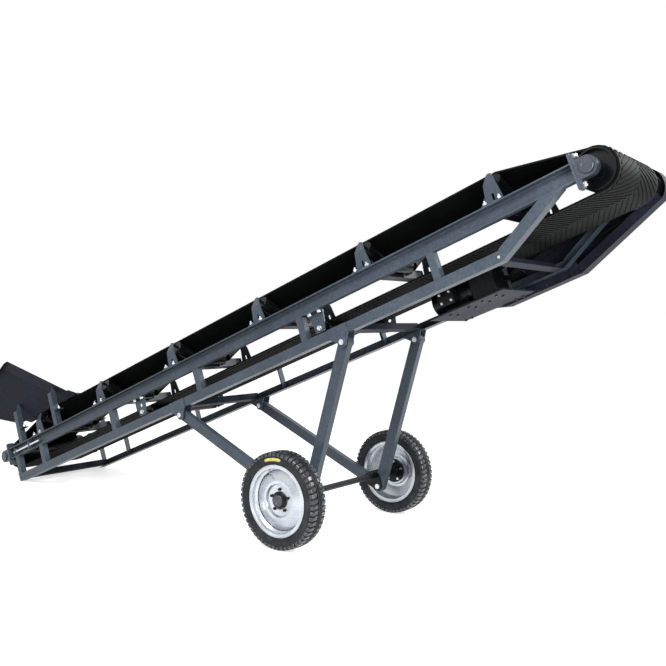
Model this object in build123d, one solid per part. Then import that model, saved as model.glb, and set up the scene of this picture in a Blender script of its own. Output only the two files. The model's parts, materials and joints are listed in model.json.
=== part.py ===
from build123d import *
import math
import os

# Portable trough belt conveyor that parks on its tail end and two road wheels
# Lengths are in millimetres. The frame is drawn level, X along the belt and Z across it, and then tilted.
# Y runs across the belt. The far side (+Y) carries the drive, the near side (-Y) is its mirror image otherwise.

# Frame
tilt_deg = 20.47
frame_width = 912.0
chord_leg = 63.0
chord_thick = 6.0
chord_root = 7.0
chord_length = 5031.0
rail_depth = 100.0
rail_flange = 48.0
rail_web = 5.3
rail_flange_thick = 8.5
rail_root = 8.0
rail_start = -80.0
rail_end = 5545.0
post_clear = 160.0
post_leg = 50.0
post_thick = 5.0
post_root = 6.0
post_first = 451.0
post_pitch = 1050.0
post_count = 5
brace_rise_deg = 27.1
cross_pitch_from_tail = 2232.0
cross_at_leg = 3886.0

# Undercarriage, in level ground coordinates from the tail corner
leg_pin_x = 3865.0
leg_pin_drop = 45.0
strut_pin_x = 2272.0
strut_pin_drop = 48.0
wheel_hub_x = 3290.0
leg_foot_x = 3317.0
leg_foot_height = 234.0
leg_deep = 75.0
leg_wide = 50.0
leg_wall = 4.0
strut_deep = 72.0
strut_wide = 45.0
strut_gap = 62.0
tie_rod_dia = 42.0
gusset_thick = 8.0
gusset_nose = 35.0
gusset_back = 90.0
gusset_front = 65.0
fork_thick = 8.0
fork_nose = 34.0
fork_axle_nose = 40.0
pin_dia = 24.0
pin_head_dia = 36.0
pin_head = 12.0
axle_dia = 45.0
axle_boss_dia = 80.0
axle_boss = 20.0

# Wheels
wheel_track = 1266.0
tyre_dia = 622.0
tyre_width = 128.0
tread_width = 112.0
shoulder_drop = 8.0
shoulder_depth = 34.0
shoulder_round = 9.0
sidewall_round = 60.0
carcass = 16.0
rim_flange_dia = 452.0
rim_width = 112.0
rim_bead_dia = 420.0
rim_well_dia = 384.0
rim_well = 44.0
rim_thick = 4.0
rim_lip = 9.0
disc_offset = 12.0
disc_crown_dia = 230.0
disc_crown = 16.0
disc_dish = 20.0
disc_seat_dia = 196.0
disc_hole_dia = 112.0
hub_dia = 106.0
hub_flange_dia = 176.0
hub_flange = 12.0
hub_cap_dia = 74.0
hub_out = 30.0
hub_in = 30.0
hub_cap = 10.0
hub_clear = 0.1
wheel_bolt_circle = 140.0
wheel_bolt_dia = 16.0
wheel_bolt_count = 5
seat_gap = 0.3

# Belt and drums
belt_width = 650.0
belt_thick = 12.0
belt_flat = 260.0
trough_deg = 30.0
trough_height = 100.0
belt_easing = 14.0
drum_dia = 224.0
drum_wall = 8.0
drum_length = 690.0
drum_plate = 10.0
drum_recess = 30.0
drum_boss_dia = 110.0
drum_boss = 24.0
shaft_dia = 50.0
head_reach = 65.0
tail_reach = 75.7
shaft_height = 272.0
shaft_stub = 22.0

# Idlers
idler_first = 380.0
idler_pitch = 940.0
idler_count = 6
roller_dia = 89.0
roller_end_gap = 6.0
wing_length = 190.0
wing_gap = 18.0
roller_shaft_dia = 20.0
roller_chamfer = 3.0
idler_base_leg = 63.0
idler_base_thick = 6.0
idler_base_back = 55.0
foot_length = 130.0
foot_width = 65.0
foot_thick = 6.0
bracket_thick = 6.0
bracket_kink_height = 123.0
bracket_kink_width = 76.0
bracket_top_width = 42.0
bracket_base_width = 115.0
bracket_upper = 74.0
bracket_base_inset = 56.0
slot_width = 14.0
slot_length = 40.0
mid_bracket_height = 74.0
mid_bracket_inset = 7.0
return_roller_dia = 76.0
return_end_gap = 61.0
return_foot_width = 45.0
return_plate_top = 116.0
return_plate_bottom = 79.0
return_plate_drop = 24.0
return_hole_dia = 26.0
return_places = (1814.0, 3694.0)

# End bearings and take-up
end_plate_thick = 12.0
end_plate_height = 200.0
end_plate_width = 66.0
bearing_base_length = 190.0
bearing_base_thick = 18.0
bearing_housing_dia = 108.0
bearing_width = 54.0
bearing_cap_dia = 76.0
bearing_cap = 7.0
slide_height = 66.0
slide_thick = 10.0
slide_length = 300.0
lug_thick = 12.0
lug_place = 235.0
lug_height = 70.0
screw_dia = 20.0
screw_end = 400.0
nut_dia = 30.0
nut_height = 16.0

# Hopper
sheet = 4.0
hopper_base_half = 350.0
hopper_base_height = 504.0
hopper_flare_share = 0.362
hopper_low = 520.0
hopper_front_x = 966.0
hopper_peak_x = 365.0
hopper_peak_height = 1029.0
hopper_rear_x = -165.0
hopper_rear_height = 940.0
hopper_heel_x = -330.0
hopper_heel_height = 690.0
hopper_toe_x = 30.0
hopper_back_foot_x = 122.0
hopper_back_foot_height = 634.0
hopper_far_height = 760.0
hopper_lip = 40.0
hopper_strip = 128.0
hopper_strip_deg = 12.0
ledge_low_half = 235.0
ledge_low_height = 512.0
ledge_high_height = 572.0
ledge_front_x = 880.0
hopper_post_places = (110.0, 685.0)
hopper_post_top = 600.0
hopper_post_tip = 680.0
hopper_flange_height = 445.0
hopper_flange_size = 84.0
hopper_flange_thick = 8.0

# Drive
motor_start = 4272.0
motor_end = 4540.0
motor_height = 46.0
motor_y = 110.0
motor_dia = 130.0
cowl_dia = 146.0
cowl_length = 62.0
motor_foot_width = 130.0
motor_foot_thick = 10.0
fin_count = 24
fin_height = 8.0
fin_thick = 3.0
flange_dia = 160.0
flange_length = 22.0
gear_length = 172.0
gear_width = 170.0
gear_drop = 80.0
gear_rise = 82.0
gear_round = 22.0
output_x = 4690.0
output_height = 85.0
output_dia = 32.0
output_boss_dia = 84.0
output_boss = 14.0
mount_start = 4250.0
mount_end = 4790.0
mount_thick = 10.0
mount_spacer = 90.0
mount_spacer_end = 4730.0
mount_drop = 40.0
mount_side = 128.0
sheave_gap = 14.0
sheave_width = 52.0
small_sheave_dia = 120.0
big_sheave_dia = 196.0
sheave_groove = 11.0
sheave_grooves = 2
groove_top = 16.0
groove_bottom = 12.0
v_belt_wide = 11.0
v_belt_thick = 9.0
guard_gap = 10.0
guard_depth = 100.0
guard_sheet = 3.0
guard_head_radius = 125.0
guard_tail_x = 4385.0
guard_tail_height = -12.0
guard_belly_x = 4560.0
guard_belly_height = -62.0
guard_bend_x = 5110.0
guard_bend_height = -52.0
guard_top_x = 4560.0
guard_top_height = 160.0
guard_tab = 60.0
guard_tab_places = (4760.0, 5040.0)
guard_high_tab = 5150.0
overrun = 50.0
tiny = 0.5

# Values worked out from the sizes above
half_width = frame_width / 2
rail_bottom = chord_leg + post_clear
rail_top = rail_bottom + rail_depth
rail_inner = half_width - rail_flange
tilt = math.radians(tilt_deg)
tyre_radius = tyre_dia / 2
drum_radius = drum_dia / 2
wing = math.radians(trough_deg)
belt_wing = (belt_width - belt_flat) / 2
head_shaft_x = rail_end + end_plate_thick + head_reach
tail_face = rail_start - end_plate_thick - seat_gap
tail_shaft_x = tail_face - tail_reach


def ground(x, z):
    """Level coordinates of a place on the tilted frame"""
    return (x * math.cos(tilt) - z * math.sin(tilt), x * math.sin(tilt) + z * math.cos(tilt))


def tilted(part):
    """Turns the level frame to its working slope about the tail corner"""
    return Rot(0, -tilt_deg, 0) * part


def block(x, y, z):
    """Block between pairs of faces"""
    size = Box(x[1] - x[0], y[1] - y[0], z[1] - z[0])
    return Pos((x[0] + x[1]) / 2, (y[0] + y[1]) / 2, (z[0] + z[1]) / 2) * size


def rod(x, z, y, dia):
    """Round bar along Y between two places"""
    return Pos(x, (y[0] + y[1]) / 2, z) * Rot(90, 0, 0) * Cylinder(dia / 2, y[1] - y[0])


def near(part):
    """Mirror image on the near side"""
    return mirror(part, about=Plane.XZ)


def both(part):
    return [part, near(part)]


def side_plate(points, y, thick):
    """Flat plate with its outline in the XZ plane, from y outwards"""
    face = Plane(origin=(0, y, 0), x_dir=(1, 0, 0), z_dir=(0, -1, 0)) * Polygon(*points, align=None)
    return extrude(face, thick, dir=(0, 1, 0))


def angle_section(leg, thick, root):
    """Rolled angle with its outer corner at the origin and its legs along -a and +b"""
    points = ((0, 0), (0, leg), (-thick, leg), (-thick, thick), (-leg, thick), (-leg, 0))
    face = Polygon(*points, align=None)
    corner = face.vertices().sort_by_distance((-thick, thick, 0))[0]
    return fillet(corner, root)


def channel_section():
    """Rolled channel with its web inside and its flanges outwards, from the web's outer face"""
    points = (
        (0, 0), (rail_flange, 0), (rail_flange, rail_flange_thick), (rail_web, rail_flange_thick),
        (rail_web, rail_depth - rail_flange_thick), (rail_flange, rail_depth - rail_flange_thick),
        (rail_flange, rail_depth), (0, rail_depth),
    )
    face = Polygon(*points, align=None)
    low = face.vertices().sort_by_distance((rail_web, rail_flange_thick, 0))[0]
    high = face.vertices().sort_by_distance((rail_web, rail_depth - rail_flange_thick, 0))[0]
    return fillet([low, high], rail_root)


def along_x(face, x, y, z, length):
    """Extrudes a section drawn in a = Y and b = Z along X"""
    place = Plane(origin=(x, y, z), x_dir=(0, 1, 0), z_dir=(1, 0, 0))
    return extrude(place * face, length, dir=(1, 0, 0))


def along_z(face, x, y, z, length):
    """Extrudes a section drawn in a = X and b = Y upwards"""
    return extrude(Plane(origin=(x, y, z)) * face, length, dir=(0, 0, 1))


nodes = {}


def keep(name, solids):
    nodes[name] = Compound(label=name, children=[s for group in solids for s in group.solids()])


# Lower chords, rolled angle with the leg outside and the toe inwards
lower = along_x(angle_section(chord_leg, chord_thick, chord_root), 0, half_width, 0, chord_length)
keep("lower_chord_far", [tilted(lower)])
keep("lower_chord_near", [tilted(near(lower))])

# Upper chords, channel with its hollow side out
upper = along_x(channel_section(), rail_start, rail_inner, rail_bottom, rail_end - rail_start)
slide_y = rail_inner + rail_web + seat_gap
slide_mid = (rail_bottom + rail_top) / 2
screw_y = (slide_y + slide_thick + half_width) / 2
lug_bottom = slide_mid - lug_height / 2
fixed_lug = block((lug_place, lug_place + lug_thick), (rail_inner + rail_web, half_width),
                  (lug_bottom, lug_bottom + lug_height))
fixed_lug -= Pos(lug_place, screw_y, slide_mid) * Rot(0, 90, 0) * Cylinder(screw_dia / 2, lug_thick * 4)
upper += fixed_lug
keep("upper_chord_far", [tilted(upper)])
keep("upper_chord_near", [tilted(near(upper))])

# Posts, coped over the lower chord
posts = []
post_places = [post_leg] + [post_first + post_pitch * k for k in range(post_count)]
for edge in post_places:
    shape = along_z(mirror(angle_section(post_leg, post_thick, post_root), about=Plane.XZ), edge, half_width,
                    chord_thick, rail_bottom - chord_thick)
    cope = block((edge - post_leg, edge), (half_width - chord_thick, half_width), (0, chord_leg))
    relief = block((edge - post_leg - tiny, edge - post_thick), (half_width - post_leg - tiny, half_width),
                   (0, chord_leg))
    snipe = block((edge - post_leg, edge + tiny), (half_width - chord_thick - chord_root, half_width),
                  (0, chord_thick + chord_root))
    posts.append(shape - cope - relief - snipe)
keep("posts_far", [tilted(p) for p in posts])
keep("posts_near", [tilted(near(p)) for p in posts])

# Head braces from the ends of the lower chords up to the upper chords
slope = math.radians(brace_rise_deg)
brace_length = rail_bottom / math.sin(slope) + chord_leg * 2
brace = along_x(angle_section(chord_leg, chord_thick, chord_root), -chord_leg, 0, 0, brace_length)
brace = Pos(chord_length, half_width, 0) * Rot(0, -brace_rise_deg, 0) * brace
brace_span = (chord_length, chord_length + brace_length)
brace = brace & block(brace_span, (0, half_width + tiny), (0, rail_bottom))
keep("head_brace_far", [tilted(brace)])
keep("head_brace_near", [tilted(near(brace))])

# Cross members between the lower chords, standing on their toes
cross_half = half_width - chord_thick - chord_root
cross_places = (post_leg, cross_pitch_from_tail, cross_at_leg, chord_length - chord_leg)
crosses = []
for place in cross_places:
    bar = along_x(angle_section(chord_leg, chord_thick, chord_root), -cross_half, 0, 0, cross_half * 2)
    crosses.append(Pos(place, 0, chord_thick) * Rot(0, 0, 90) * bar)
keep("cross_members", [tilted(c) for c in crosses])

# Gusset pairs that carry the leg and strut pins
leg_centre_y = half_width - chord_leg / 2
gussets = []
for pin_x, drop in ((leg_pin_x, leg_pin_drop), (strut_pin_x, strut_pin_drop)):
    outline = (
        (pin_x - gusset_back, 0), (pin_x - gusset_nose, -drop), (pin_x + gusset_nose, -drop),
        (pin_x + gusset_front, 0), (pin_x + gusset_front, chord_leg), (pin_x - gusset_back, chord_leg),
    )
    outer = side_plate(outline, half_width, gusset_thick)
    outer += rod(pin_x, -drop, (half_width, half_width + gusset_thick), gusset_nose * 2)
    inner_y = half_width - chord_leg - gusset_thick
    low = (
        (pin_x - gusset_back, 0), (pin_x - gusset_nose, -drop), (pin_x + gusset_nose, -drop),
        (pin_x + gusset_front, 0), (pin_x + gusset_front, chord_thick), (pin_x - gusset_back, chord_thick),
    )
    inner = side_plate(low, inner_y, gusset_thick)
    inner += rod(pin_x, -drop, (inner_y, inner_y + gusset_thick), gusset_nose * 2)
    hole = rod(pin_x, -drop, (inner_y - tiny, half_width + gusset_thick + tiny), pin_dia)
    gussets += both(outer - hole) + both(inner - hole)
keep("gusset_plates", [tilted(g) for g in gussets])

# Legs, box tube with round ends, from the frame pins down to the forks in front of the axle
leg_top = ground(leg_pin_x, -leg_pin_drop)
strut_top = ground(strut_pin_x, -strut_pin_drop)
hub = (wheel_hub_x, tyre_radius)
foot = (leg_foot_x, leg_foot_height)
leg_angle = math.atan2(leg_top[1] - foot[1], leg_top[0] - foot[0])


def tube_between(start, angle, length, deep, wide, wall, y):
    """Box tube along a line in the XZ plane, centred on y, with round ends about both pins"""
    outer = Box(length, wide, deep, align=(Align.MIN, Align.CENTER, Align.CENTER))
    outer += rod(0, 0, (-wide / 2, wide / 2), deep) + rod(length, 0, (-wide / 2, wide / 2), deep)
    bore = Pos(deep / 2, 0, 0) * Box(length - deep, wide - wall * 2, deep - wall * 2,
                                     align=(Align.MIN, Align.CENTER, Align.CENTER))
    return Pos(start[0], y, start[1]) * Rot(0, -math.degrees(angle), 0) * (outer - bore)


leg = tube_between(foot, leg_angle, math.dist(leg_top, foot), leg_deep, leg_wide, leg_wall, leg_centre_y)
leg_y = (leg_centre_y - leg_wide / 2, leg_centre_y + leg_wide / 2)
for place in (leg_top, foot):
    leg -= rod(place[0], place[1], (leg_y[0] - tiny, leg_y[1] + tiny), pin_dia)
keep("leg_far", [leg])
keep("leg_near", [near(leg)])

# Struts, from the rear frame pins to the forks at the feet of the legs
strut_angle = math.atan2(foot[1] - strut_top[1], foot[0] - strut_top[0])
strut_span = math.dist(foot, strut_top) - strut_gap
strut = tube_between(strut_top, strut_angle, strut_span, strut_deep, strut_wide, leg_wall, leg_centre_y)
cut = Box(strut_deep * 2, strut_wide * 2, strut_deep * 2, align=(Align.MIN, Align.CENTER, Align.CENTER))
place = Pos(strut_top[0], leg_centre_y, strut_top[1]) * Rot(0, -math.degrees(strut_angle), 0)
strut -= place * Pos(strut_span, 0, 0) * cut
strut -= rod(strut_top[0], strut_top[1], (leg_y[0] - tiny, leg_y[1] + tiny), pin_dia)
keep("strut_far", [strut])
keep("strut_near", [near(strut)])

# Fork plates on both sides of each leg foot, from the strut ends round the axle, with the tie rod between the pairs
fork_reach = strut_gap + strut_deep
fork_back = (foot[0] - fork_reach * math.cos(strut_angle), foot[1] - fork_reach * math.sin(strut_angle))
fork_side = (-fork_nose * math.sin(strut_angle), fork_nose * math.cos(strut_angle))
fork_outline = (
    (foot[0], foot[1] - fork_nose), (foot[0] + fork_nose, foot[1]), (hub[0] + fork_axle_nose, hub[1]),
    (hub[0], hub[1] + fork_axle_nose), (fork_back[0] + fork_side[0], fork_back[1] + fork_side[1]),
    (fork_back[0] - fork_side[0], fork_back[1] - fork_side[1]),
)
forks = []
for y in (leg_y[0] - fork_thick, leg_y[1]):
    plate = side_plate(fork_outline, y, fork_thick)
    plate -= rod(foot[0], foot[1], (y - tiny, y + fork_thick + tiny), pin_dia)
    forks.append(plate)
fork_half = leg_y[0] - fork_thick
tie = rod(hub[0], hub[1], (-fork_half, fork_half), tie_rod_dia) + forks[0] + near(forks[0])
keep("fork_plates_and_tie_rod", [tie] + both(forks[1]))

# Pins through gussets and forks
pins = []
for place, y in ((leg_top, (inner_y, half_width + gusset_thick)), (strut_top, (inner_y, half_width + gusset_thick)),
                 (foot, (leg_y[0] - fork_thick, leg_y[1] + fork_thick))):
    pin = rod(place[0], place[1], (y[0] - pin_head, y[1] + pin_head), pin_dia)
    pin += rod(place[0], place[1], (y[1], y[1] + pin_head), pin_head_dia)
    pin += rod(place[0], place[1], (y[0] - pin_head, y[0]), pin_head_dia)
    pins += both(pin)
keep("pivot_pins", pins)

# Stub axles on the outer fork plates, in line with the tie rod, each with a welded boss
wheel_y = wheel_track / 2
axle_end = wheel_y + hub_out
axle_start = leg_y[1] + fork_thick
axle = rod(hub[0], hub[1], (axle_start, axle_end), axle_dia)
axle += rod(hub[0], hub[1], (axle_start, axle_start + axle_boss), axle_boss_dia)
keep("stub_axles", both(axle))

# Wheels, turned about the axle and drawn from the centre line outwards
rim_half = rim_width / 2
flange_radius = rim_flange_dia / 2
bead_radius = rim_bead_dia / 2
well_radius = rim_well_dia / 2


def turned(points, rounds=()):
    """Solid of revolution about Y from points given as radius and place along Y, with some corners rounded"""
    face = Polygon(*points, align=None)
    for place, radius in rounds:
        face = fillet(face.vertices().sort_by_distance((place[0], place[1], 0))[0], radius)
    return revolve(face, Axis.Y)


crown_share = 0.6
side_share = 0.55
tyre_half = tyre_width / 2
tread_half = tread_width / 2
bead_gap = seat_gap
sidewall_radius = bead_radius + (tyre_radius - bead_radius) * side_share
tyre_points = [
    (bead_radius + bead_gap, -rim_half + rim_lip), (flange_radius + bead_gap, -rim_half + rim_lip),
    (flange_radius + rim_lip, -rim_half - tiny), (sidewall_radius, -tyre_half),
    (tyre_radius - shoulder_depth, -tyre_half + tiny), (tyre_radius - shoulder_drop, -tread_half),
    (tyre_radius - shoulder_drop / 4, -tread_half * crown_share), (tyre_radius, 0),
]
inner_radius = bead_radius + carcass
inner_points = [
    (tyre_radius - carcass * 2, 0), (tyre_radius - carcass * 2, -tread_half),
    (sidewall_radius, -tyre_half + carcass), (inner_radius, -rim_half + rim_lip + carcass),
    (bead_radius + bead_gap, -rim_half + rim_lip + carcass),
]
outer_side = tyre_points + [(r, -y) for r, y in reversed(tyre_points[:-1])]
inner_side = [(r, -y) for r, y in reversed(inner_points)] + inner_points[1:]
tyre_rounds = []
for side in (-1, 1):
    tyre_rounds.append(((tyre_radius - shoulder_drop, side * tread_half), shoulder_round))
    tyre_rounds.append(((sidewall_radius, side * tyre_half), sidewall_round))
tyre = turned(outer_side + inner_side, tyre_rounds)

rim_points = [
    (flange_radius, -rim_half), (flange_radius, -rim_half + rim_thick), (bead_radius, -rim_half + rim_lip),
    (bead_radius, -rim_half + rim_lip + carcass + rim_thick), (well_radius + rim_thick, -rim_well / 2),
    (well_radius + rim_thick, rim_well / 2), (bead_radius, rim_half - rim_lip - carcass - rim_thick),
    (bead_radius, rim_half - rim_lip), (flange_radius, rim_half - rim_thick), (flange_radius, rim_half),
    (bead_radius - rim_thick, rim_half), (bead_radius - rim_thick, rim_half - rim_lip - carcass),
    (well_radius, rim_well / 2 - rim_thick), (well_radius, -rim_well / 2 + rim_thick),
    (bead_radius - rim_thick, -rim_half + rim_lip + carcass), (bead_radius - rim_thick, -rim_half),
]
rim = turned(rim_points)
crown_radius = disc_crown_dia / 2
seat_radius = disc_seat_dia / 2
hole_radius = disc_hole_dia / 2
crown_half_share = 0.08
disc_points = [
    (hole_radius, disc_dish), (seat_radius, disc_dish), (crown_radius * (1 - crown_half_share), disc_dish + disc_crown),
    (crown_radius * (1 + crown_half_share), disc_dish + disc_crown), (well_radius, disc_offset),
    (well_radius, disc_offset - rim_thick), (crown_radius * (1 + crown_half_share), disc_dish + disc_crown - rim_thick),
    (crown_radius * (1 - crown_half_share), disc_dish + disc_crown - rim_thick),
    (seat_radius, disc_dish - rim_thick), (hole_radius, disc_dish - rim_thick),
]
rim += turned(disc_points)
bolt_holes = []
for k in range(wheel_bolt_count):
    turn = 360 * k / wheel_bolt_count
    hole = rod(0, wheel_bolt_circle / 2, (disc_dish - overrun, disc_dish + overrun), wheel_bolt_dia)
    bolt_holes.append(Rot(0, turn, 0) * hole)
for hole in bolt_holes:
    rim -= hole

# Hub, cast barrel with a bolt flange behind the disc and a cap that closes the bearing
bore_radius = axle_dia / 2 + hub_clear
hub_seat = disc_dish - rim_thick
hub_points = [
    (bore_radius, -hub_in), (hub_dia / 2, -hub_in), (hub_dia / 2, hub_seat - hub_flange),
    (hub_flange_dia / 2, hub_seat - hub_flange), (hub_flange_dia / 2, hub_seat), (hole_radius, hub_seat),
    (hole_radius, hub_out), (hub_cap_dia / 2, hub_out + hub_cap), (0, hub_out + hub_cap), (0, hub_out + seat_gap),
    (bore_radius, hub_out + seat_gap),
]
hub_solid = turned(hub_points)
for k in range(wheel_bolt_count):
    turn = 360 * k / wheel_bolt_count
    bolt = rod(0, wheel_bolt_circle / 2, (hub_seat - tiny, disc_dish + hub_flange), wheel_bolt_dia - seat_gap * 2)
    hub_solid += Rot(0, turn, 0) * bolt
at_hub = Pos(hub[0], wheel_y, hub[1])
for name, piece in (("tyre", tyre), ("rim", rim), ("hub", hub_solid)):
    keep(name + "_far", [at_hub * piece])
    keep(name + "_near", [near(at_hub * piece)])

# Idler sets: angle base, end brackets on feet, and two middle brackets
roller_radius = roller_dia / 2
base_top = rail_top + foot_thick
centre_height = rail_top + trough_height - roller_radius
foot_inner = half_width - foot_width
bracket_base_y = half_width - bracket_base_inset
kink_z = base_top + bracket_kink_height
top_y = bracket_base_y - bracket_upper * math.sin(wing)
top_z = kink_z + bracket_upper * math.cos(wing)
inner_kink = (bracket_base_y - bracket_thick, kink_z - bracket_thick * math.tan(wing / 2))
bracket_line = (
    (bracket_base_y, base_top), (bracket_base_y, kink_z), (top_y, top_z),
    (top_y - bracket_thick * math.cos(wing), top_z - bracket_thick * math.sin(wing)),
    (inner_kink[0], inner_kink[1]), (bracket_base_y - bracket_thick, base_top),
)
bracket = along_x(Polygon(*bracket_line, align=None), -foot_length / 2, 0, 0, foot_length)
nose = bracket_top_width / 2
front = (
    (-bracket_base_width / 2, base_top), (bracket_base_width / 2, base_top), (bracket_kink_width / 2, kink_z),
    (nose, top_z - nose), (-nose, top_z - nose), (-bracket_kink_width / 2, kink_z),
)
mask = side_plate(front, 0, half_width)
mask += rod(0, top_z - nose, (0, half_width), bracket_top_width)
bracket = bracket & mask
slot_z = base_top + slot_length
slot = block((-slot_width / 2, slot_width / 2), (top_y, half_width), (slot_z - slot_length / 2, slot_z + slot_length / 2))
bracket -= slot
shoe = block((-foot_length / 2, foot_length / 2), (foot_inner, half_width), (rail_top, base_top))
shoe = fillet(shoe.edges().filter_by(Axis.Z), foot_thick)
end_bracket = bracket + shoe

base_half = foot_inner
base_bar = along_x(angle_section(idler_base_leg, idler_base_thick, post_root), -base_half, 0, 0, base_half * 2)
base_bar = Pos(-idler_base_back, 0, rail_top) * Rot(0, 0, 90) * base_bar
base_bar = mirror(base_bar, about=Plane(origin=(-idler_base_back, 0, 0), z_dir=(1, 0, 0)))
mid_y = belt_flat / 2 + mid_bracket_inset - bracket_thick / 2
mid_low = rail_top + idler_base_thick
mid_top = mid_low + mid_bracket_height
mid_outline = (
    (-idler_base_back + idler_base_thick, mid_low), (idler_base_leg - idler_base_back, mid_low),
    (roller_shaft_dia, mid_top), (-roller_shaft_dia, mid_top),
)
mid = side_plate(mid_outline, mid_y, bracket_thick)
roller_length = (mid_y - roller_end_gap) * 2
wing_start = mid_y + bracket_thick + wing_gap

# Rollers: a straight one under the middle of the belt and two wings
roller_points = [
    (0, -roller_length / 2), (roller_radius - roller_chamfer, -roller_length / 2),
    (roller_radius, -roller_length / 2 + roller_chamfer), (roller_radius, roller_length / 2 - roller_chamfer),
    (roller_radius - roller_chamfer, roller_length / 2), (0, roller_length / 2),
]
centre_roller = turned(roller_points)
centre_roller += rod(0, 0, (-mid_y, mid_y), roller_shaft_dia)
wing_z = rail_top + trough_height - roller_radius / math.cos(wing) + (wing_start - belt_flat / 2) * math.tan(wing)
wing_points = [
    (0, 0), (roller_radius - roller_chamfer, 0), (roller_radius, roller_chamfer),
    (roller_radius, wing_length - roller_chamfer), (roller_radius - roller_chamfer, wing_length), (0, wing_length),
]
wing_roller = turned(wing_points)
wing_inner = (wing_start - mid_y - bracket_thick) / math.cos(wing)
wing_shaft = rod(0, 0, (-wing_inner, wing_length + overrun * 2), roller_shaft_dia)
wing_roller += wing_shaft
wing_roller = Pos(0, wing_start, wing_z) * Rot(trough_deg, 0, 0) * wing_roller
wing_roller -= block((-roller_dia, roller_dia), (0, mid_y + bracket_thick), (0, top_z))
beyond = (
    inner_kink, (inner_kink[0] + overrun * 2, inner_kink[1]), (inner_kink[0] + overrun * 2, top_z + overrun * 2),
    (top_y - bracket_thick * math.cos(wing) - overrun * 2 * math.sin(wing),
     top_z - bracket_thick * math.sin(wing) + overrun * 2 * math.cos(wing)),
)
wing_roller -= along_x(Polygon(*beyond, align=None), -roller_dia, 0, 0, roller_dia * 2)

frames, centres, wings = [], [], []
for k in range(idler_count):
    at = Pos(idler_first + idler_pitch * k, 0, 0)
    frames += [at * base_bar] + [at * p for p in both(end_bracket) + both(mid)]
    centres.append(at * Pos(0, 0, centre_height) * centre_roller)
    wings += [at * p for p in both(wing_roller)]
keep("idler_frames", [tilted(f) for f in frames])
keep("centre_rollers", [tilted(r) for r in centres])
keep("wing_rollers", [tilted(r) for r in wings])

# Return rollers under the frame's upper chords
return_radius = return_roller_dia / 2
return_z = shaft_height - drum_radius - belt_thick - return_radius - seat_gap * 2
plate_top = rail_bottom - foot_thick
plate_bottom = return_z - return_plate_drop
plate_y = half_width - return_foot_width
return_roller_length = (plate_y - return_end_gap) * 2
return_plate = (
    (-return_plate_top / 2, plate_top), (-return_plate_top / 2, plate_top - return_plate_drop),
    (-return_plate_bottom / 2, plate_bottom), (return_plate_bottom / 2, plate_bottom),
    (return_plate_top / 2, plate_top - return_plate_drop), (return_plate_top / 2, plate_top),
)
hanger = side_plate(return_plate, plate_y, foot_thick)
hanger -= rod(0, return_z, (plate_y - tiny, plate_y + foot_thick + tiny), roller_shaft_dia)
hanger -= rod(0, return_z + return_hole_dia * 2, (plate_y - tiny, plate_y + foot_thick + tiny), return_hole_dia)
hanger += block((-return_plate_top / 2, return_plate_top / 2), (plate_y, half_width), (plate_top, rail_bottom))
return_points = [
    (0, -return_roller_length / 2), (return_radius - roller_chamfer, -return_roller_length / 2),
    (return_radius, -return_roller_length / 2 + roller_chamfer),
    (return_radius, return_roller_length / 2 - roller_chamfer),
    (return_radius - roller_chamfer, return_roller_length / 2), (0, return_roller_length / 2),
]
return_roller = turned(return_points)
return_roller += rod(0, 0, (-plate_y - foot_thick, plate_y + foot_thick), roller_shaft_dia)
hangers, returns = [], []
for x in return_places:
    hangers += [Pos(x, 0, 0) * p for p in both(hanger)]
    returns.append(Pos(x, 0, return_z) * return_roller)
keep("return_brackets", [tilted(h) for h in hangers])
keep("return_rollers", [tilted(r) for r in returns])

# Belt: troughed on the idlers, flat round both drums, one loop
belt_inner = drum_radius + seat_gap
belt_outer = belt_inner + belt_thick
trough_under = rail_top + trough_height + seat_gap
drum_under = shaft_height + belt_inner
wing_reach = belt_wing * math.cos(wing)
wing_rise = belt_wing * math.sin(wing)


def belt_section(x, low, trough):
    """Belt across at one place, folded by a share of the full trough"""
    a = wing * trough
    flat = belt_flat / 2
    edge_y = flat + belt_wing * math.cos(a)
    edge_z = low + belt_wing * math.sin(a)
    lift = (belt_thick * math.sin(a), belt_thick * math.cos(a))
    bend = belt_thick * math.tan(a / 2)
    right = [(flat, low), (edge_y, edge_z), (edge_y - lift[0], edge_z + lift[1]), (flat - bend, low + belt_thick)]
    left = [(-y, z) for y, z in reversed(right)]
    points = [Vector(x, y, z) for y, z in right + left]
    return Wire.make_polygon(points, close=True)


idler_last = idler_first + idler_pitch * (idler_count - 1)
carry = [
    belt_section(tail_shaft_x, drum_under, 0), belt_section(idler_first - belt_easing, trough_under, 1),
    belt_section(idler_last + belt_easing, trough_under, 1), belt_section(head_shaft_x, drum_under, 0),
]
belt = None
for k in range(len(carry) - 1):
    span = Solid.make_loft([carry[k], carry[k + 1]], True)
    belt = Part(span.wrapped) if belt is None else belt + Part(span.wrapped)
half_belt = belt_width / 2
belt += block((tail_shaft_x, head_shaft_x), (-half_belt, half_belt),
              (shaft_height - belt_outer, shaft_height - belt_inner))
for x, side in ((tail_shaft_x, -1), (head_shaft_x, 1)):
    ring = rod(x, shaft_height, (-half_belt, half_belt), belt_outer * 2)
    ring -= rod(x, shaft_height, (-half_belt - tiny, half_belt + tiny), belt_inner * 2)
    wrap = sorted((x, x + side * drum_dia))
    belt += ring & block(wrap, (-half_belt, half_belt), (0, shaft_height * 2))
keep("belt", [tilted(belt)])

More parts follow.
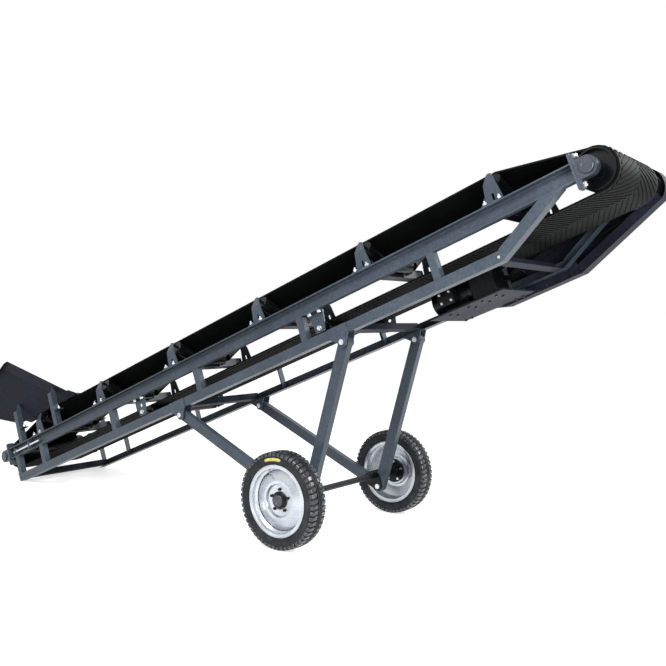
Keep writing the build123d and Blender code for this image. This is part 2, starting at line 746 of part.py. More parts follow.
# Drums, open at the ends with a set-back plate, a boss and a through shaft
drum_half = drum_length / 2
drum_points = [
    (drum_radius, 0), (drum_radius, drum_half), (drum_radius - drum_wall, drum_half),
    (drum_radius - drum_wall, drum_half - drum_recess), (drum_boss_dia / 2, drum_half - drum_recess),
    (drum_boss_dia / 2, drum_half - drum_recess + drum_boss), (shaft_dia / 2, drum_half - drum_recess + drum_boss),
    (shaft_dia / 2, drum_half - drum_recess - drum_plate - drum_boss),
    (drum_boss_dia / 2, drum_half - drum_recess - drum_plate - drum_boss),
    (drum_boss_dia / 2, drum_half - drum_recess - drum_plate),
    (drum_radius - drum_wall, drum_half - drum_recess - drum_plate), (drum_radius - drum_wall, 0),
]
drum_side = turned(drum_points)
drum_shell = drum_side + near(drum_side)
bearing_y = (rail_inner + half_width) / 2
shaft_end = bearing_y + shaft_stub - seat_gap
drum_shell += rod(0, 0, (-shaft_end, shaft_end), shaft_dia)
drive_end = half_width + sheave_gap + sheave_width
drive_shaft = rod(0, 0, (0, drive_end), shaft_dia)
keep("head_drum", [tilted(Pos(head_shaft_x, 0, shaft_height) * (drum_shell + drive_shaft))])
keep("tail_drum", [tilted(Pos(tail_shaft_x, 0, shaft_height) * drum_shell)])

# End plates and pillow blocks
plate_half = end_plate_height / 2
plate_rows = (bearing_y - end_plate_width / 2, bearing_y + end_plate_width / 2)
end_plate = block((rail_end, rail_end + end_plate_thick), plate_rows,
                  (shaft_height - plate_half, shaft_height + plate_half))
end_plate = fillet(end_plate.edges().filter_by(Axis.X), end_plate_thick)
keep("head_end_plates", [tilted(p) for p in both(end_plate)])


def pillow_block(reach, bore_end):
    """Bearing block with its base on the plane X = 0, its shaft at X = reach"""
    base = block((0, bearing_base_thick), (-bearing_width / 2, bearing_width / 2),
                 (-bearing_base_length / 2, bearing_base_length / 2))
    base = fillet(base.edges().filter_by(Axis.X), bearing_base_thick / 2)
    body = rod(reach, 0, (-bearing_width / 2, bearing_width / 2), bearing_housing_dia)
    neck = block((0, reach), (-bearing_width / 2, bearing_width / 2), (-bearing_housing_dia / 2, bearing_housing_dia / 2))
    solid = base + neck + body
    solid += rod(reach, 0, (bearing_width / 2, bearing_width / 2 + bearing_cap), bearing_cap_dia)
    bore = rod(reach, 0, (-bearing_width, bore_end), shaft_dia + hub_clear * 2)
    return solid - bore


at_head = Pos(rail_end + end_plate_thick, bearing_y, shaft_height)
blocks = [at_head * pillow_block(head_reach, bearing_width), near(at_head * pillow_block(head_reach, shaft_stub))]
tail_block = Pos(tail_face, bearing_y, shaft_height) * Rot(0, 0, 180) * pillow_block(tail_reach, shaft_stub)
tail_block = mirror(tail_block, about=Plane(origin=(0, bearing_y, 0), z_dir=(0, 1, 0)))
keep("shaft_bearings", [tilted(p) for p in blocks + both(tail_block)])

# Take-up slides: the tail plate on a flat bar that runs in the hollow of the channel
slide_plate = block((tail_face, tail_face + end_plate_thick), plate_rows,
                    (shaft_height - plate_half, shaft_height + plate_half))
slide_plate = fillet(slide_plate.edges().filter_by(Axis.X), end_plate_thick)
slide_bar = block((tail_face + end_plate_thick, slide_length + rail_start), (slide_y, slide_y + slide_thick),
                  (slide_mid - slide_height / 2, slide_mid + slide_height / 2))
slide_bar -= block((lug_place - nut_height * 2, slide_length), (0, half_width),
                   (slide_mid - slide_height, slide_mid + slide_height))
slide_lug = block((0, lug_thick), (slide_y + slide_thick, half_width), (slide_mid - nut_dia, slide_mid + nut_dia))
hole = Pos(0, screw_y, slide_mid) * Rot(0, 90, 0) * Cylinder(screw_dia / 2, lug_thick * 4)
slide = slide_plate + slide_bar + (slide_lug - hole)
keep("takeup_slides", [tilted(p) for p in both(slide)])
screw_start = -nut_height
screw = Pos((screw_start + screw_end) / 2, screw_y, slide_mid) * Rot(0, 90, 0) * Cylinder(screw_dia / 2, screw_end - screw_start)
nut_radius = nut_dia / 2
for x in (-nut_height, lug_thick, lug_place - nut_height, lug_place + lug_thick):
    hexagon = RegularPolygon(nut_radius, 6)
    screw += along_x(hexagon, x, screw_y, slide_mid, nut_height)
keep("takeup_screws", [tilted(p) for p in both(screw)])

# Hopper: flared sides, tall on the near side and low on the far side where it is filled, and a sloping back
flare = math.atan(hopper_flare_share)
flare_out = (0, math.cos(flare), -math.sin(flare))
hopper_plane = Plane(
    origin=(0, hopper_base_half, hopper_base_height), x_dir=(1, 0, 0), z_dir=(0, -math.cos(flare), math.sin(flare)),
)


def on_flare(x, z):
    """Place on the sloping side plate that stands at height z"""
    return (x, (z - hopper_base_height) / math.cos(flare))


def off_flare(points, thick):
    """Plate on the slope of the side, from its inner face outwards"""
    return extrude(hopper_plane * Polygon(*points, align=None), thick, dir=flare_out)


def lip_along(high, low):
    """Outward lip along a top edge of the side"""
    run = math.dist(high, low)
    across = ((low[1] - high[1]) / run * sheet, (high[0] - low[0]) / run * sheet)
    points = (high, low, (low[0] + across[0], low[1] + across[1]), (high[0] + across[0], high[1] + across[1]))
    return off_flare(points, hopper_lip)


def between(a, b, share):
    return (a[0] + (b[0] - a[0]) * share, a[1] + (b[1] - a[1]) * share)


side_front = on_flare(hopper_front_x, hopper_low)
side_peak = on_flare(hopper_peak_x, hopper_peak_height)
side_rear = on_flare(hopper_rear_x, hopper_rear_height)
side_heel = on_flare(hopper_heel_x, hopper_heel_height)
side_toe = on_flare(hopper_toe_x, hopper_low)

# The near side has its front strip folded outwards
front_run = math.dist(side_front, side_peak)
top_run = math.dist(side_peak, side_rear)
front_dir = ((side_peak[0] - side_front[0]) / front_run, (side_peak[1] - side_front[1]) / front_run)
top_dir = ((side_rear[0] - side_peak[0]) / top_run, (side_rear[1] - side_peak[1]) / top_run)
top_cross = front_dir[0] * top_dir[1] - front_dir[1] * top_dir[0]
fold_low = (side_front[0] - hopper_strip / front_dir[1], side_front[1])
fold_high = between(side_peak, side_rear, hopper_strip / abs(top_cross) / top_run)
strip_outline = (side_front, side_peak, fold_high, fold_low)
strip = off_flare(strip_outline, sheet) + lip_along(side_peak, fold_high)
fold_from = hopper_plane.from_local_coords(Vector(*fold_low, 0))
fold_to = hopper_plane.from_local_coords(Vector(*fold_high, 0))
fold = Axis(fold_from, fold_to - fold_from)
strip = strip.rotate(fold, hopper_strip_deg)
strip_inside = extrude(hopper_plane * Polygon(*strip_outline, align=None), overrun, dir=(0, -flare_out[1], -flare_out[2]))
strip_inside = (strip_inside + off_flare(strip_outline, sheet)).rotate(fold, hopper_strip_deg)
tall = off_flare((fold_low, fold_high, side_rear, side_heel, side_toe), sheet) + lip_along(fold_high, side_rear)
keep("hopper_side_near", [tilted(near(tall + strip))])

# The far side is the same blank cut off low
far_rise = hopper_far_height - hopper_low
low_peak = between(side_front, side_peak, far_rise / (hopper_peak_height - hopper_low))
low_rear = between(side_heel, side_rear, (hopper_far_height - hopper_heel_height) / (hopper_rear_height - hopper_heel_height))
low_side = off_flare((side_front, low_peak, low_rear, side_heel, side_toe), sheet) + lip_along(low_peak, low_rear)
keep("hopper_side_far", [tilted(low_side)])


def flare_half(z):
    """Inner half width between the side plates at height z"""
    return hopper_base_half + (z - hopper_base_height) * hopper_flare_share


def between_sides(x, low, high):
    """Space between the side plates, over a span of heights"""
    points = (
        (-flare_half(low), low), (flare_half(low), low), (flare_half(high), high), (-flare_half(high), high),
    )
    return along_x(Polygon(*points, align=None), x[0], 0, 0, x[1] - x[0])


back_foot = (hopper_back_foot_x, hopper_back_foot_height)
back_top = (hopper_rear_x, hopper_rear_height)
back_run = math.dist(back_foot, back_top)
back_dir = ((back_top[0] - back_foot[0]) / back_run, (back_top[1] - back_foot[1]) / back_run)
back_line = (
    back_foot, back_top, (back_top[0] + back_dir[1] * sheet, back_top[1] - back_dir[0] * sheet),
    (back_foot[0] + back_dir[1] * sheet, back_foot[1] - back_dir[0] * sheet),
)
back = side_plate(back_line, -frame_width, frame_width * 2)
hopper_space = between_sides((hopper_heel_x, hopper_front_x), hopper_low, hopper_peak_height)
back = back & hopper_space
above_back = (
    (-frame_width, hopper_rear_height), (-flare_half(hopper_rear_height), hopper_rear_height),
    (flare_half(hopper_far_height), hopper_far_height), (frame_width, hopper_far_height),
    (frame_width, hopper_rear_height + overrun), (-frame_width, hopper_rear_height + overrun),
)
back -= along_x(Polygon(*above_back, align=None), hopper_heel_x, 0, 0, hopper_front_x - hopper_heel_x)
keep("hopper_back", [tilted(back)])

ledge_high_half = flare_half(ledge_high_height)
ledge_run = math.dist((ledge_low_half, ledge_low_height), (ledge_high_half, ledge_high_height))
ledge_dir = ((ledge_high_half - ledge_low_half) / ledge_run, (ledge_high_height - ledge_low_height) / ledge_run)
ledge_line = (
    (ledge_low_half, ledge_low_height), (ledge_high_half + sheet, ledge_high_height + sheet * ledge_dir[1] / ledge_dir[0]),
    (ledge_high_half + sheet - ledge_dir[1] * sheet, ledge_high_height + sheet + sheet * ledge_dir[0]),
    (ledge_low_half - ledge_dir[1] * sheet, ledge_low_height + ledge_dir[0] * sheet),
)
ledge = along_x(Polygon(*ledge_line, align=None), hopper_toe_x, 0, 0, ledge_front_x - hopper_toe_x)
keep("hopper_skirts", [tilted(p) for p in both(ledge & hopper_space)])

# Hopper posts: rolled angle with a bolted flange part way up, its inner leg cut to the slope of the side plate
tip_half = flare_half(hopper_post_tip) + sheet / math.cos(flare)
hopper_posts = []
for x in hopper_post_places:
    shape = along_z(mirror(angle_section(post_leg, post_thick, post_root), about=Plane.XZ), x + post_leg, half_width,
                    rail_top, hopper_post_tip - rail_top)
    flange = block((x, x + hopper_flange_size), (half_width - hopper_flange_size / 2 - post_leg / 2, half_width),
                   (hopper_flange_height, hopper_flange_height + hopper_flange_thick))
    shape += flange
    outside = sheet / math.cos(flare)
    cut_line = (
        (flare_half(hopper_low) + outside, hopper_low), (flare_half(hopper_peak_height) + outside, hopper_peak_height),
        (0, hopper_peak_height), (0, hopper_low),
    )
    shape -= along_x(Polygon(*cut_line, align=None), x - overrun, 0, 0, post_leg + overrun * 2)
    top_line = (
        (half_width + tiny, hopper_post_top), (half_width, hopper_post_top), (tip_half, hopper_post_tip),
        (half_width + tiny, hopper_post_tip),
    )
    shape -= along_x(Polygon(*top_line, align=None), x - overrun, 0, 0, post_leg + overrun * 2)
    hopper_posts += [shape, near(shape - strip_inside)]
keep("hopper_posts", [tilted(p) for p in hopper_posts])

# Drive: geared motor on a base plate under the far lower chord, its output shaft over the chord
motor_length = motor_end - motor_start
motor = Cylinder(motor_dia / 2, motor_length - cowl_length, align=(Align.CENTER, Align.CENTER, Align.MIN))
motor = Pos(0, 0, cowl_length) * motor
motor += Cylinder(cowl_dia / 2, cowl_length, align=(Align.CENTER, Align.CENTER, Align.MIN))
motor += Pos(0, 0, motor_length) * Cylinder(flange_dia / 2, flange_length,
                                            align=(Align.CENTER, Align.CENTER, Align.MIN))
fin_root = motor_dia / 2 - tiny
for k in range(fin_count):
    turn = 360 * (k + 1 / 2) / fin_count
    fin = block((fin_root, fin_root + fin_height), (-fin_thick / 2, fin_thick / 2), (cowl_length, motor_length - flange_length))
    motor += Rot(0, 0, turn) * fin
motor = Pos(motor_start, motor_y, motor_height) * Rot(0, 90, 0) * motor
mount_top = -mount_drop
gear_start = motor_end + flange_length
gear_case = block((gear_start, gear_start + gear_length), (motor_y - gear_width / 2, motor_y + gear_width / 2),
                  (motor_height - gear_drop, motor_height + gear_rise))
gear_case = fillet(gear_case.edges().filter_by(Axis.Y), gear_round)
gear_case = fillet(gear_case.edges().filter_by(Axis.X), gear_round / 2)
motor += gear_case
motor += block((gear_start, gear_start + gear_length), (motor_y - gear_width / 2, motor_y + gear_width / 2),
               (mount_top, mount_top + motor_foot_thick))
motor += block((gear_start + gear_round, gear_start + gear_length - gear_round),
               (motor_y - gear_width / 4, motor_y + gear_width / 4), (mount_top, motor_height))
motor += block((motor_start + cowl_length, motor_end - flange_length),
               (motor_y - motor_foot_width / 2, motor_y + motor_foot_width / 2), (mount_top, mount_top + motor_foot_thick))
motor += block((motor_start + cowl_length, motor_end - flange_length),
               (motor_y - motor_foot_width / 4, motor_y + motor_foot_width / 4), (mount_top, motor_height))
gear_side = motor_y + gear_width / 2
sheave_y = (half_width + sheave_gap, half_width + sheave_gap + sheave_width)
motor += rod(output_x, output_height, (gear_side, gear_side + output_boss), output_boss_dia)
motor += rod(output_x, output_height, (gear_side, sheave_y[1]), output_dia)
keep("geared_motor", [tilted(motor)])

cradle = block((mount_start, mount_end), (motor_y - mount_side, half_width), (mount_top - mount_thick, mount_top))
for x in (mount_start, mount_spacer_end - mount_spacer):
    cradle += block((x, x + mount_spacer), (half_width - chord_leg, half_width), (mount_top, 0))
keep("motor_cradle", [tilted(cradle)])


def sheave(dia):
    """Grooved wheel along Y from 0"""
    r = dia / 2
    land = sheave_width / sheave_grooves
    points = [(0, 0), (r, 0)]
    for k in range(sheave_grooves):
        middle = land * (k + 1 / 2)
        points += [
            (r, middle - groove_top / 2), (r - sheave_groove, middle - groove_bottom / 2),
            (r - sheave_groove, middle + groove_bottom / 2), (r, middle + groove_top / 2),
        ]
    points += [(r, sheave_width), (0, sheave_width)]
    return turned(points)


small = Pos(output_x, sheave_y[0], output_height) * sheave(small_sheave_dia)
small -= rod(output_x, output_height, (sheave_y[0] - tiny, sheave_y[1] + tiny), output_dia)
big = Pos(head_shaft_x, sheave_y[0], shaft_height) * sheave(big_sheave_dia)
big -= rod(head_shaft_x, shaft_height, (sheave_y[0] - tiny, sheave_y[1] + tiny), shaft_dia)
keep("sheaves", [tilted(small), tilted(big)])


def loop_face(extra):
    """Area inside a belt round both sheaves, at a height above the groove floors"""
    low_ring = Pos(output_x, output_height) * Circle(small_sheave_dia / 2 - sheave_groove + extra)
    high_ring = Pos(head_shaft_x, shaft_height) * Circle(big_sheave_dia / 2 - sheave_groove + extra)
    return make_hull((low_ring + high_ring).edges())


v_belts = []
loop = loop_face(seat_gap + v_belt_thick) - loop_face(seat_gap)
for k in range(sheave_grooves):
    y = sheave_y[0] + sheave_width / sheave_grooves * (k + 1 / 2) - v_belt_wide / 2
    place = Plane(origin=(0, y, 0), x_dir=(1, 0, 0), z_dir=(0, -1, 0))
    v_belts.append(extrude(place * loop, v_belt_wide, dir=(0, 1, 0)))
keep("drive_belts", [tilted(v) for v in v_belts])

# Guard tray over the drive, open towards the frame
guard_y = (half_width + guard_gap, half_width + guard_gap + guard_depth)
guard_outline = [
    (guard_tail_x, guard_tail_height), (guard_belly_x, guard_belly_height), (guard_bend_x, guard_bend_height),
]
arc_steps = 14
arc_from_deg = -50.0
arc_to_deg = 115.0
for k in range(arc_steps + 1):
    a = math.radians(arc_from_deg + (arc_to_deg - arc_from_deg) * k / arc_steps)
    guard_outline.append((head_shaft_x + guard_head_radius * math.cos(a), shaft_height + guard_head_radius * math.sin(a)))
guard_outline.append((guard_top_x, guard_top_height))
guard_face = Plane(origin=(0, guard_y[0], 0), x_dir=(1, 0, 0), z_dir=(0, -1, 0)) * Polygon(*guard_outline, align=None)
guard_solid = extrude(guard_face, guard_depth, dir=(0, 1, 0))
guard_hollow = extrude(offset(guard_face, -guard_sheet, kind=Kind.INTERSECTION), guard_depth - guard_sheet, dir=(0, 1, 0))
guard = guard_solid - guard_hollow
for x in guard_tab_places:
    run_share = (x - guard_belly_x) / (guard_bend_x - guard_belly_x)
    tab_low = guard_belly_height + (guard_bend_height - guard_belly_height) * run_share
    guard += block((x, x + guard_tab), (half_width, half_width + guard_sheet), (tab_low, chord_leg - chord_thick))
    guard += block((x, x + guard_tab), (half_width, half_width + guard_gap + guard_tab / 2),
                   (tab_low, tab_low + guard_sheet * 2))
high_share = (guard_high_tab - guard_top_x) / (guard_outline[-2][0] - guard_top_x)
high_z = guard_top_height + (guard_outline[-2][1] - guard_top_height) * high_share
guard += block((guard_high_tab, guard_high_tab + guard_tab), (half_width, half_width + guard_sheet), (high_z, rail_top))
guard += block((guard_high_tab, guard_high_tab + guard_tab), (half_width, half_width + guard_gap + guard_tab / 2),
               (high_z, high_z + guard_sheet))
keep("drive_guard", [tilted(guard)])

# Origin on the ground, in the middle of the whole machine
whole = [n.bounding_box() for n in nodes.values()]
low_x = min(b.min.X for b in whole)
high_x = max(b.max.X for b in whole)
low_y = min(b.min.Y for b in whole)
high_y = max(b.max.Y for b in whole)
low_z = min(b.min.Z for b in whole)
shift = Pos(-(low_x + high_x) / 2, -(low_y + high_y) / 2, -low_z)
os.makedirs("parts", exist_ok=True)
for name, node in nodes.items():
    export_step(shift * node, "parts/" + name + ".step")
print("shift", -(low_x + high_x) / 2, -(low_y + high_y) / 2, -low_z)
print("hub", hub[0] - (low_x + high_x) / 2, wheel_y - (low_y + high_y) / 2, hub[1] - low_z)
print("nodes", len(nodes))
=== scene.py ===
# %% [markdown]
# This scene dresses a portable belt conveyor. Its solids come from a imported frame, in metres,
# and stay where they are. The cells below add what the solids lack: paint, rubber, ribs, tread and bolts.

# %% Load the frame, its record and the hubs' places
import bpy
import json
import math
from mathutils import Matrix, Vector


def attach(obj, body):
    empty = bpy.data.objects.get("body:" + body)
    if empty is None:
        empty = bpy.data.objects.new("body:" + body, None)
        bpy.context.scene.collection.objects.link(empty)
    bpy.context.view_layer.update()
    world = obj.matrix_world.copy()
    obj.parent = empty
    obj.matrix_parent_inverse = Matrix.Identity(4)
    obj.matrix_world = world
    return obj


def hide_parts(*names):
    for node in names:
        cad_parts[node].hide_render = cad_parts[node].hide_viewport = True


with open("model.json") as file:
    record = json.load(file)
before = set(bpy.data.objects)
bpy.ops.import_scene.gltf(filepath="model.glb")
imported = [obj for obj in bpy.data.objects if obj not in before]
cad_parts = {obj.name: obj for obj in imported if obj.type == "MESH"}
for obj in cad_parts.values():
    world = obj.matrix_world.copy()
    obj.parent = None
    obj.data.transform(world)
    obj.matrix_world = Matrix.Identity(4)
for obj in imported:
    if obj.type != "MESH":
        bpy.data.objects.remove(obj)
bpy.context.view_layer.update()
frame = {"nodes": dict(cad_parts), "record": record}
bpy.ops.object.select_all(action="DESELECT")
joints = {j["name"]: j for j in frame["record"]["behaviour"]["joints"]}
hub_near = Vector(joints["near_wheel_spin"]["pos_m"])
hub_far = Vector(joints["far_wheel_spin"]["pos_m"])

# %% [markdown]
# The machine leans: its belt rises by about 20.5 degrees from a corner on the ground at the tail.
# Sizes that belong to the frame are easier to think of along that slope, so one helper turns
# slope coordinates (along, across, up from the slope) in millimetres into the scene's metres.

# %% Slope coordinates
tilt = math.radians(20.47)
hub_from_tail = 3.290
tail_x = hub_near.x - hub_from_tail


def on_slope(along, across, up):
    """Place in the scene of a point given in millimetres on the tilted frame"""
    x = along * math.cos(tilt) - up * math.sin(tilt)
    z = along * math.sin(tilt) + up * math.cos(tilt)
    return Vector((tail_x + x / 1000, across / 1000, z / 1000))


slope_turn = Matrix.Rotation(-tilt, 4, "Y")
slope_place = Matrix.Translation((tail_x, 0, 0)) @ slope_turn
print("tail corner at x", round(tail_x, 4))

# %% [markdown]
# The camera stands where the photograph was taken: low, at the head end, looking back along the belt.
# Its lens is worked out from a focal length in pixels on a frame of 666 by 666.

# %% Camera
frame_pixels = 666
focal_pixels = 805.68
camera_from_tail = (6.653, -4.443, 1.436)
camera_turn_deg = 37.807
camera_pitch_deg = -0.8115
camera_data = bpy.data.cameras.new("photo_camera")
camera_data.sensor_fit = "HORIZONTAL"
camera_data.sensor_width = 36.0
camera_data.lens = focal_pixels / frame_pixels * camera_data.sensor_width
camera = bpy.data.objects.new("photo_camera", camera_data)
bpy.context.scene.collection.objects.link(camera)
camera.location = (tail_x + camera_from_tail[0], camera_from_tail[1], camera_from_tail[2])
camera.rotation_euler = (math.radians(90 + camera_pitch_deg), 0, math.radians(camera_turn_deg))
bpy.context.scene.camera = camera
print("lens", round(camera_data.lens, 2), "mm")

# %% [markdown]
# Materials are small networks of nodes. One helper adds a node with its settings and its links: a
# setting is a property, the value of an input, or the three colour stops of a ramp. Another helper
# turns a colour from a picker, written as a hex value, into the linear light that shaders add up.

# %% Node and colour helpers
def linear(hex_colour):
    """sRGB hex value to a linear RGBA colour"""
    parts = [int(hex_colour[k:k + 2], 16) / 255 for k in (1, 3, 5)]
    return [c / 12.92 if c <= 0.04045 else ((c + 0.055) / 1.055) ** 2.4 for c in parts] + [1.0]


def add_node(tree, kind, settings=None, links=None):
    """Adds a node, sets its properties or input values, and links its inputs to other nodes' outputs"""
    node = tree.nodes.new(kind)
    for key, value in (settings or {}).items():
        if key == "stops":
            low, middle, high = value
            for element, (place, colour) in zip(node.color_ramp.elements, (low, high)):
                element.position, element.color = place, linear(colour)
            node.color_ramp.elements.new(middle[0]).color = linear(middle[1])
        elif isinstance(key, str) and hasattr(node, key):
            setattr(node, key, value)
        else:
            node.inputs[key].default_value = value
    for key, source in (links or {}).items():
        tree.links.new(source, node.inputs[key])
    return node


def new_material(name):
    """Empty node material with its output and its principled shader"""
    material = bpy.data.materials.new(name)
    material.use_nodes = True
    tree = material.node_tree
    tree.nodes.clear()
    shader = add_node(tree, "ShaderNodeBsdfPrincipled")
    add_node(tree, "ShaderNodeOutputMaterial", None, {"Surface": shader.outputs["BSDF"]})
    return material, tree, shader

# %% [markdown]
# The frame wears a slate enamel. It was sprayed on welded steel, so it has a faint orange peel,
# a gloss that clouds over in patches, and a little workshop dust that lightens it. The patches are
# about half a metre wide, the dust grain about 20 mm and the peel 9 mm, coarse enough to show here.
# The sheet parts, such as the hopper and the guard, wear a darker and flatter coat; rollers, drums and
# forks wear a black one; and the cast bearing housings, whose skin is rougher, a glossier grey one.
# On the motor cradle and the cross members under the belt, the darker coat is painted shade.

# %% Sprayed enamel
def enamel(name, shade, base, dust, roughness, gloss_level, peel_mm, bump):
    """Sprayed enamel on steel: two noises mix its colours, one clouds the gloss and one lifts the peel"""
    material, tree, shader = new_material(name)
    place = add_node(tree, "ShaderNodeTexCoord")
    cloud = add_node(tree, "ShaderNodeTexNoise", {"Scale": 2.1, "Detail": 5.0, "Roughness": 0.62},
                     {"Vector": place.outputs["Object"]})
    grit = add_node(tree, "ShaderNodeTexNoise", {"Scale": 1000 / 20, "Detail": 4.0, "Roughness": 0.7},
                    {"Vector": place.outputs["Object"]})
    both = add_node(tree, "ShaderNodeMath", {"operation": "MULTIPLY"},
                    {0: cloud.outputs["Fac"], 1: grit.outputs["Fac"]})
    colour = add_node(tree, "ShaderNodeValToRGB", {"stops": ((0.14, shade), (0.26, base), (0.4, dust))},
                      {"Fac": both.outputs["Value"]})
    tree.links.new(colour.outputs["Color"], shader.inputs["Base Color"])
    gloss = add_node(tree, "ShaderNodeMapRange", {"From Min": 0.3, "From Max": 0.7,
                     "To Min": roughness - 0.07, "To Max": roughness + 0.1}, {"Value": cloud.outputs["Fac"]})
    tree.links.new(gloss.outputs["Result"], shader.inputs["Roughness"])
    peel = add_node(tree, "ShaderNodeTexNoise", {"Scale": 1000 / peel_mm, "Detail": 2.0},
                    {"Vector": place.outputs["Object"]})
    lift = add_node(tree, "ShaderNodeBump", {"Strength": bump, "Distance": 0.0006}, {"Height": peel.outputs["Fac"]})
    tree.links.new(lift.outputs["Normal"], shader.inputs["Normal"])
    shader.inputs["IOR"].default_value = 1.5
    shader.inputs["Specular IOR Level"].default_value = gloss_level
    return material


frame_paint = enamel("slate_enamel", "#3b4450", "#47515d", "#545f6b", 0.34, 0.3, 9.0, 0.18)
# On the motor cradle and the cross members this dark coat is painted shade.
dark_paint_and_painted_shade = enamel("dark_slate_enamel_and_painted_shade", "#191c25", "#232732", "#303642", 0.52, 0.08, 9.0, 0.22)
black_paint = enamel("black_enamel", "#08090b", "#0e0f12", "#1b1d21", 0.28, 0.2, 7.0, 0.25)
housing_paint = enamel("cast_iron_enamel", "#2b303b", "#3b414f", "#535a6b", 0.24, 0.6, 12.0, 0.3)
print("enamels", [paint.name for paint in (frame_paint, dark_paint_and_painted_shade, black_paint, housing_paint)])

# %% [markdown]
# The wheels are sprayed with silver enamel, which is a clear film full of tiny metal flakes. It is
# halfway between paint and metal, so the metallic value is high but the surface stays fairly rough.
# Real flakes are finer than a pixel; they are drawn about 3 mm wide, just coarse enough to sparkle.

# %% Silver enamel with flakes
flake_mm = 3
silver_paint, tree, shader = new_material("silver_flake_enamel")
place = add_node(tree, "ShaderNodeTexCoord")
flakes = add_node(tree, "ShaderNodeTexVoronoi", {"Scale": 1000 / flake_mm}, {"Vector": place.outputs["Object"]})
film = add_node(tree, "ShaderNodeTexNoise", {"Scale": 7.0, "Detail": 5.0}, {"Vector": place.outputs["Object"]})
colour = add_node(tree, "ShaderNodeValToRGB", {"stops": ((0.3, "#a8aeb6"), (0.5, "#bfc4cb"), (0.7, "#d4d8dd"))},
                  {"Fac": film.outputs["Fac"]})
tree.links.new(colour.outputs["Color"], shader.inputs["Base Color"])
flake_gloss = add_node(tree, "ShaderNodeMapRange", {"To Min": 0.2, "To Max": 0.3},
                       {"Value": flakes.outputs["Distance"]})
tree.links.new(flake_gloss.outputs["Result"], shader.inputs["Roughness"])
flake_lift = add_node(tree, "ShaderNodeBump", {"Strength": 0.12, "Distance": 0.0004},
                      {"Height": film.outputs["Fac"]})
tree.links.new(flake_lift.outputs["Normal"], shader.inputs["Normal"])
shader.inputs["Metallic"].default_value = 0.7
print(silver_paint.name, "with flakes of", flake_mm, "mm")

# %% [markdown]
# Bolts, pins and screws are zinc plated: a bright, slightly bluish metal with a shine that is mottled
# every 6 mm or so. Being a real metal it is fully metallic and keeps the default index of refraction.

# %% Zinc plate
mottle_mm = 6
zinc_plate, tree, shader = new_material("bright_zinc_plate")
place = add_node(tree, "ShaderNodeTexCoord")
mottle = add_node(tree, "ShaderNodeTexNoise", {"Scale": 1000 / mottle_mm, "Detail": 3.0},
                  {"Vector": place.outputs["Object"]})
colour = add_node(tree, "ShaderNodeValToRGB", {"stops": ((0.3, "#b3b9bf"), (0.5, "#d3d7da"), (0.7, "#eceeef"))},
                  {"Fac": mottle.outputs["Fac"]})
tree.links.new(colour.outputs["Color"], shader.inputs["Base Color"])
plate_gloss = add_node(tree, "ShaderNodeMapRange", {"To Min": 0.2, "To Max": 0.42}, {"Value": mottle.outputs["Fac"]})
tree.links.new(plate_gloss.outputs["Result"], shader.inputs["Roughness"])
shader.inputs["Metallic"].default_value = 1.0
print(zinc_plate.name, "mottled every", mottle_mm, "mm")

# %% [markdown]
# Vulcanised rubber is a very dark grey with almost no shine. The belt's is new and plain; the tyres'
# has picked up pale dust, which sits in cloudy patches, and their lugs shine where the mould was smooth.
# The lugs' rubber is lighter still: partly pale dust on their tops, partly a painted highlight for glints.
# A fine grain of 5 mm breaks up the sheen.

# %% Rubbers
def rubber(name, deep, base, dust, roughness, sheen_level, grain_mm, dust_scale):
    """Matt vulcanised rubber: dust in patches, and a grain that breaks up what sheen there is"""
    material, tree, shader = new_material(name)
    place = add_node(tree, "ShaderNodeTexCoord")
    patch = add_node(tree, "ShaderNodeTexNoise", {"Scale": dust_scale, "Detail": 6.0, "Roughness": 0.65},
                     {"Vector": place.outputs["Object"]})
    colour = add_node(tree, "ShaderNodeValToRGB", {"stops": ((0.32, deep), (0.5, base), (0.72, dust))},
                      {"Fac": patch.outputs["Fac"]})
    tree.links.new(colour.outputs["Color"], shader.inputs["Base Color"])
    grain = add_node(tree, "ShaderNodeTexNoise", {"Scale": 1000 / grain_mm, "Detail": 3.0},
                     {"Vector": place.outputs["Object"]})
    lift = add_node(tree, "ShaderNodeBump", {"Strength": 0.3, "Distance": 0.0006}, {"Height": grain.outputs["Fac"]})
    tree.links.new(lift.outputs["Normal"], shader.inputs["Normal"])
    shader.inputs["Roughness"].default_value = roughness
    shader.inputs["IOR"].default_value = 1.5
    shader.inputs["Specular IOR Level"].default_value = sheen_level
    return material


belt_rubber = rubber("plain_belt_rubber", "#060607", "#090a0b", "#101112", 0.68, 0.1, 5.0, 5.0)
rib_rubber = rubber("belt_rib_rubber", "#0a0b0c", "#101112", "#191a1b", 0.68, 0.08, 5.0, 5.0)
tyre_rubber = rubber("dusty_tyre_rubber", "#15171a", "#212427", "#3f4347", 0.55, 0.25, 5.0, 11.0)
# The lugs' rubber is lighter than the carcass: partly pale dust, partly a painted highlight for the glints on their
# shoulders.
lug_dust_and_painted_highlight_rubber = rubber("lug_dust_and_painted_highlight_rubber", "#1b1e21", "#303438", "#6c7176", 0.26, 0.65, 5.0, 30.0)
print("rubbers", [gum.name for gum in (belt_rubber, rib_rubber, tyre_rubber, lug_dust_and_painted_highlight_rubber)])

# %% [markdown]
# The machine stands before a white backdrop, yet its undersides are dark, as over a grey yard. So floor
# and world have two levels: a bright one where a ray comes from the camera, off a shiny surface or
# through glass, and a dim one for the light that they throw on the machine. A Light Path node tells them
# apart, and this helper adds up its three kinds of ray that are seen.

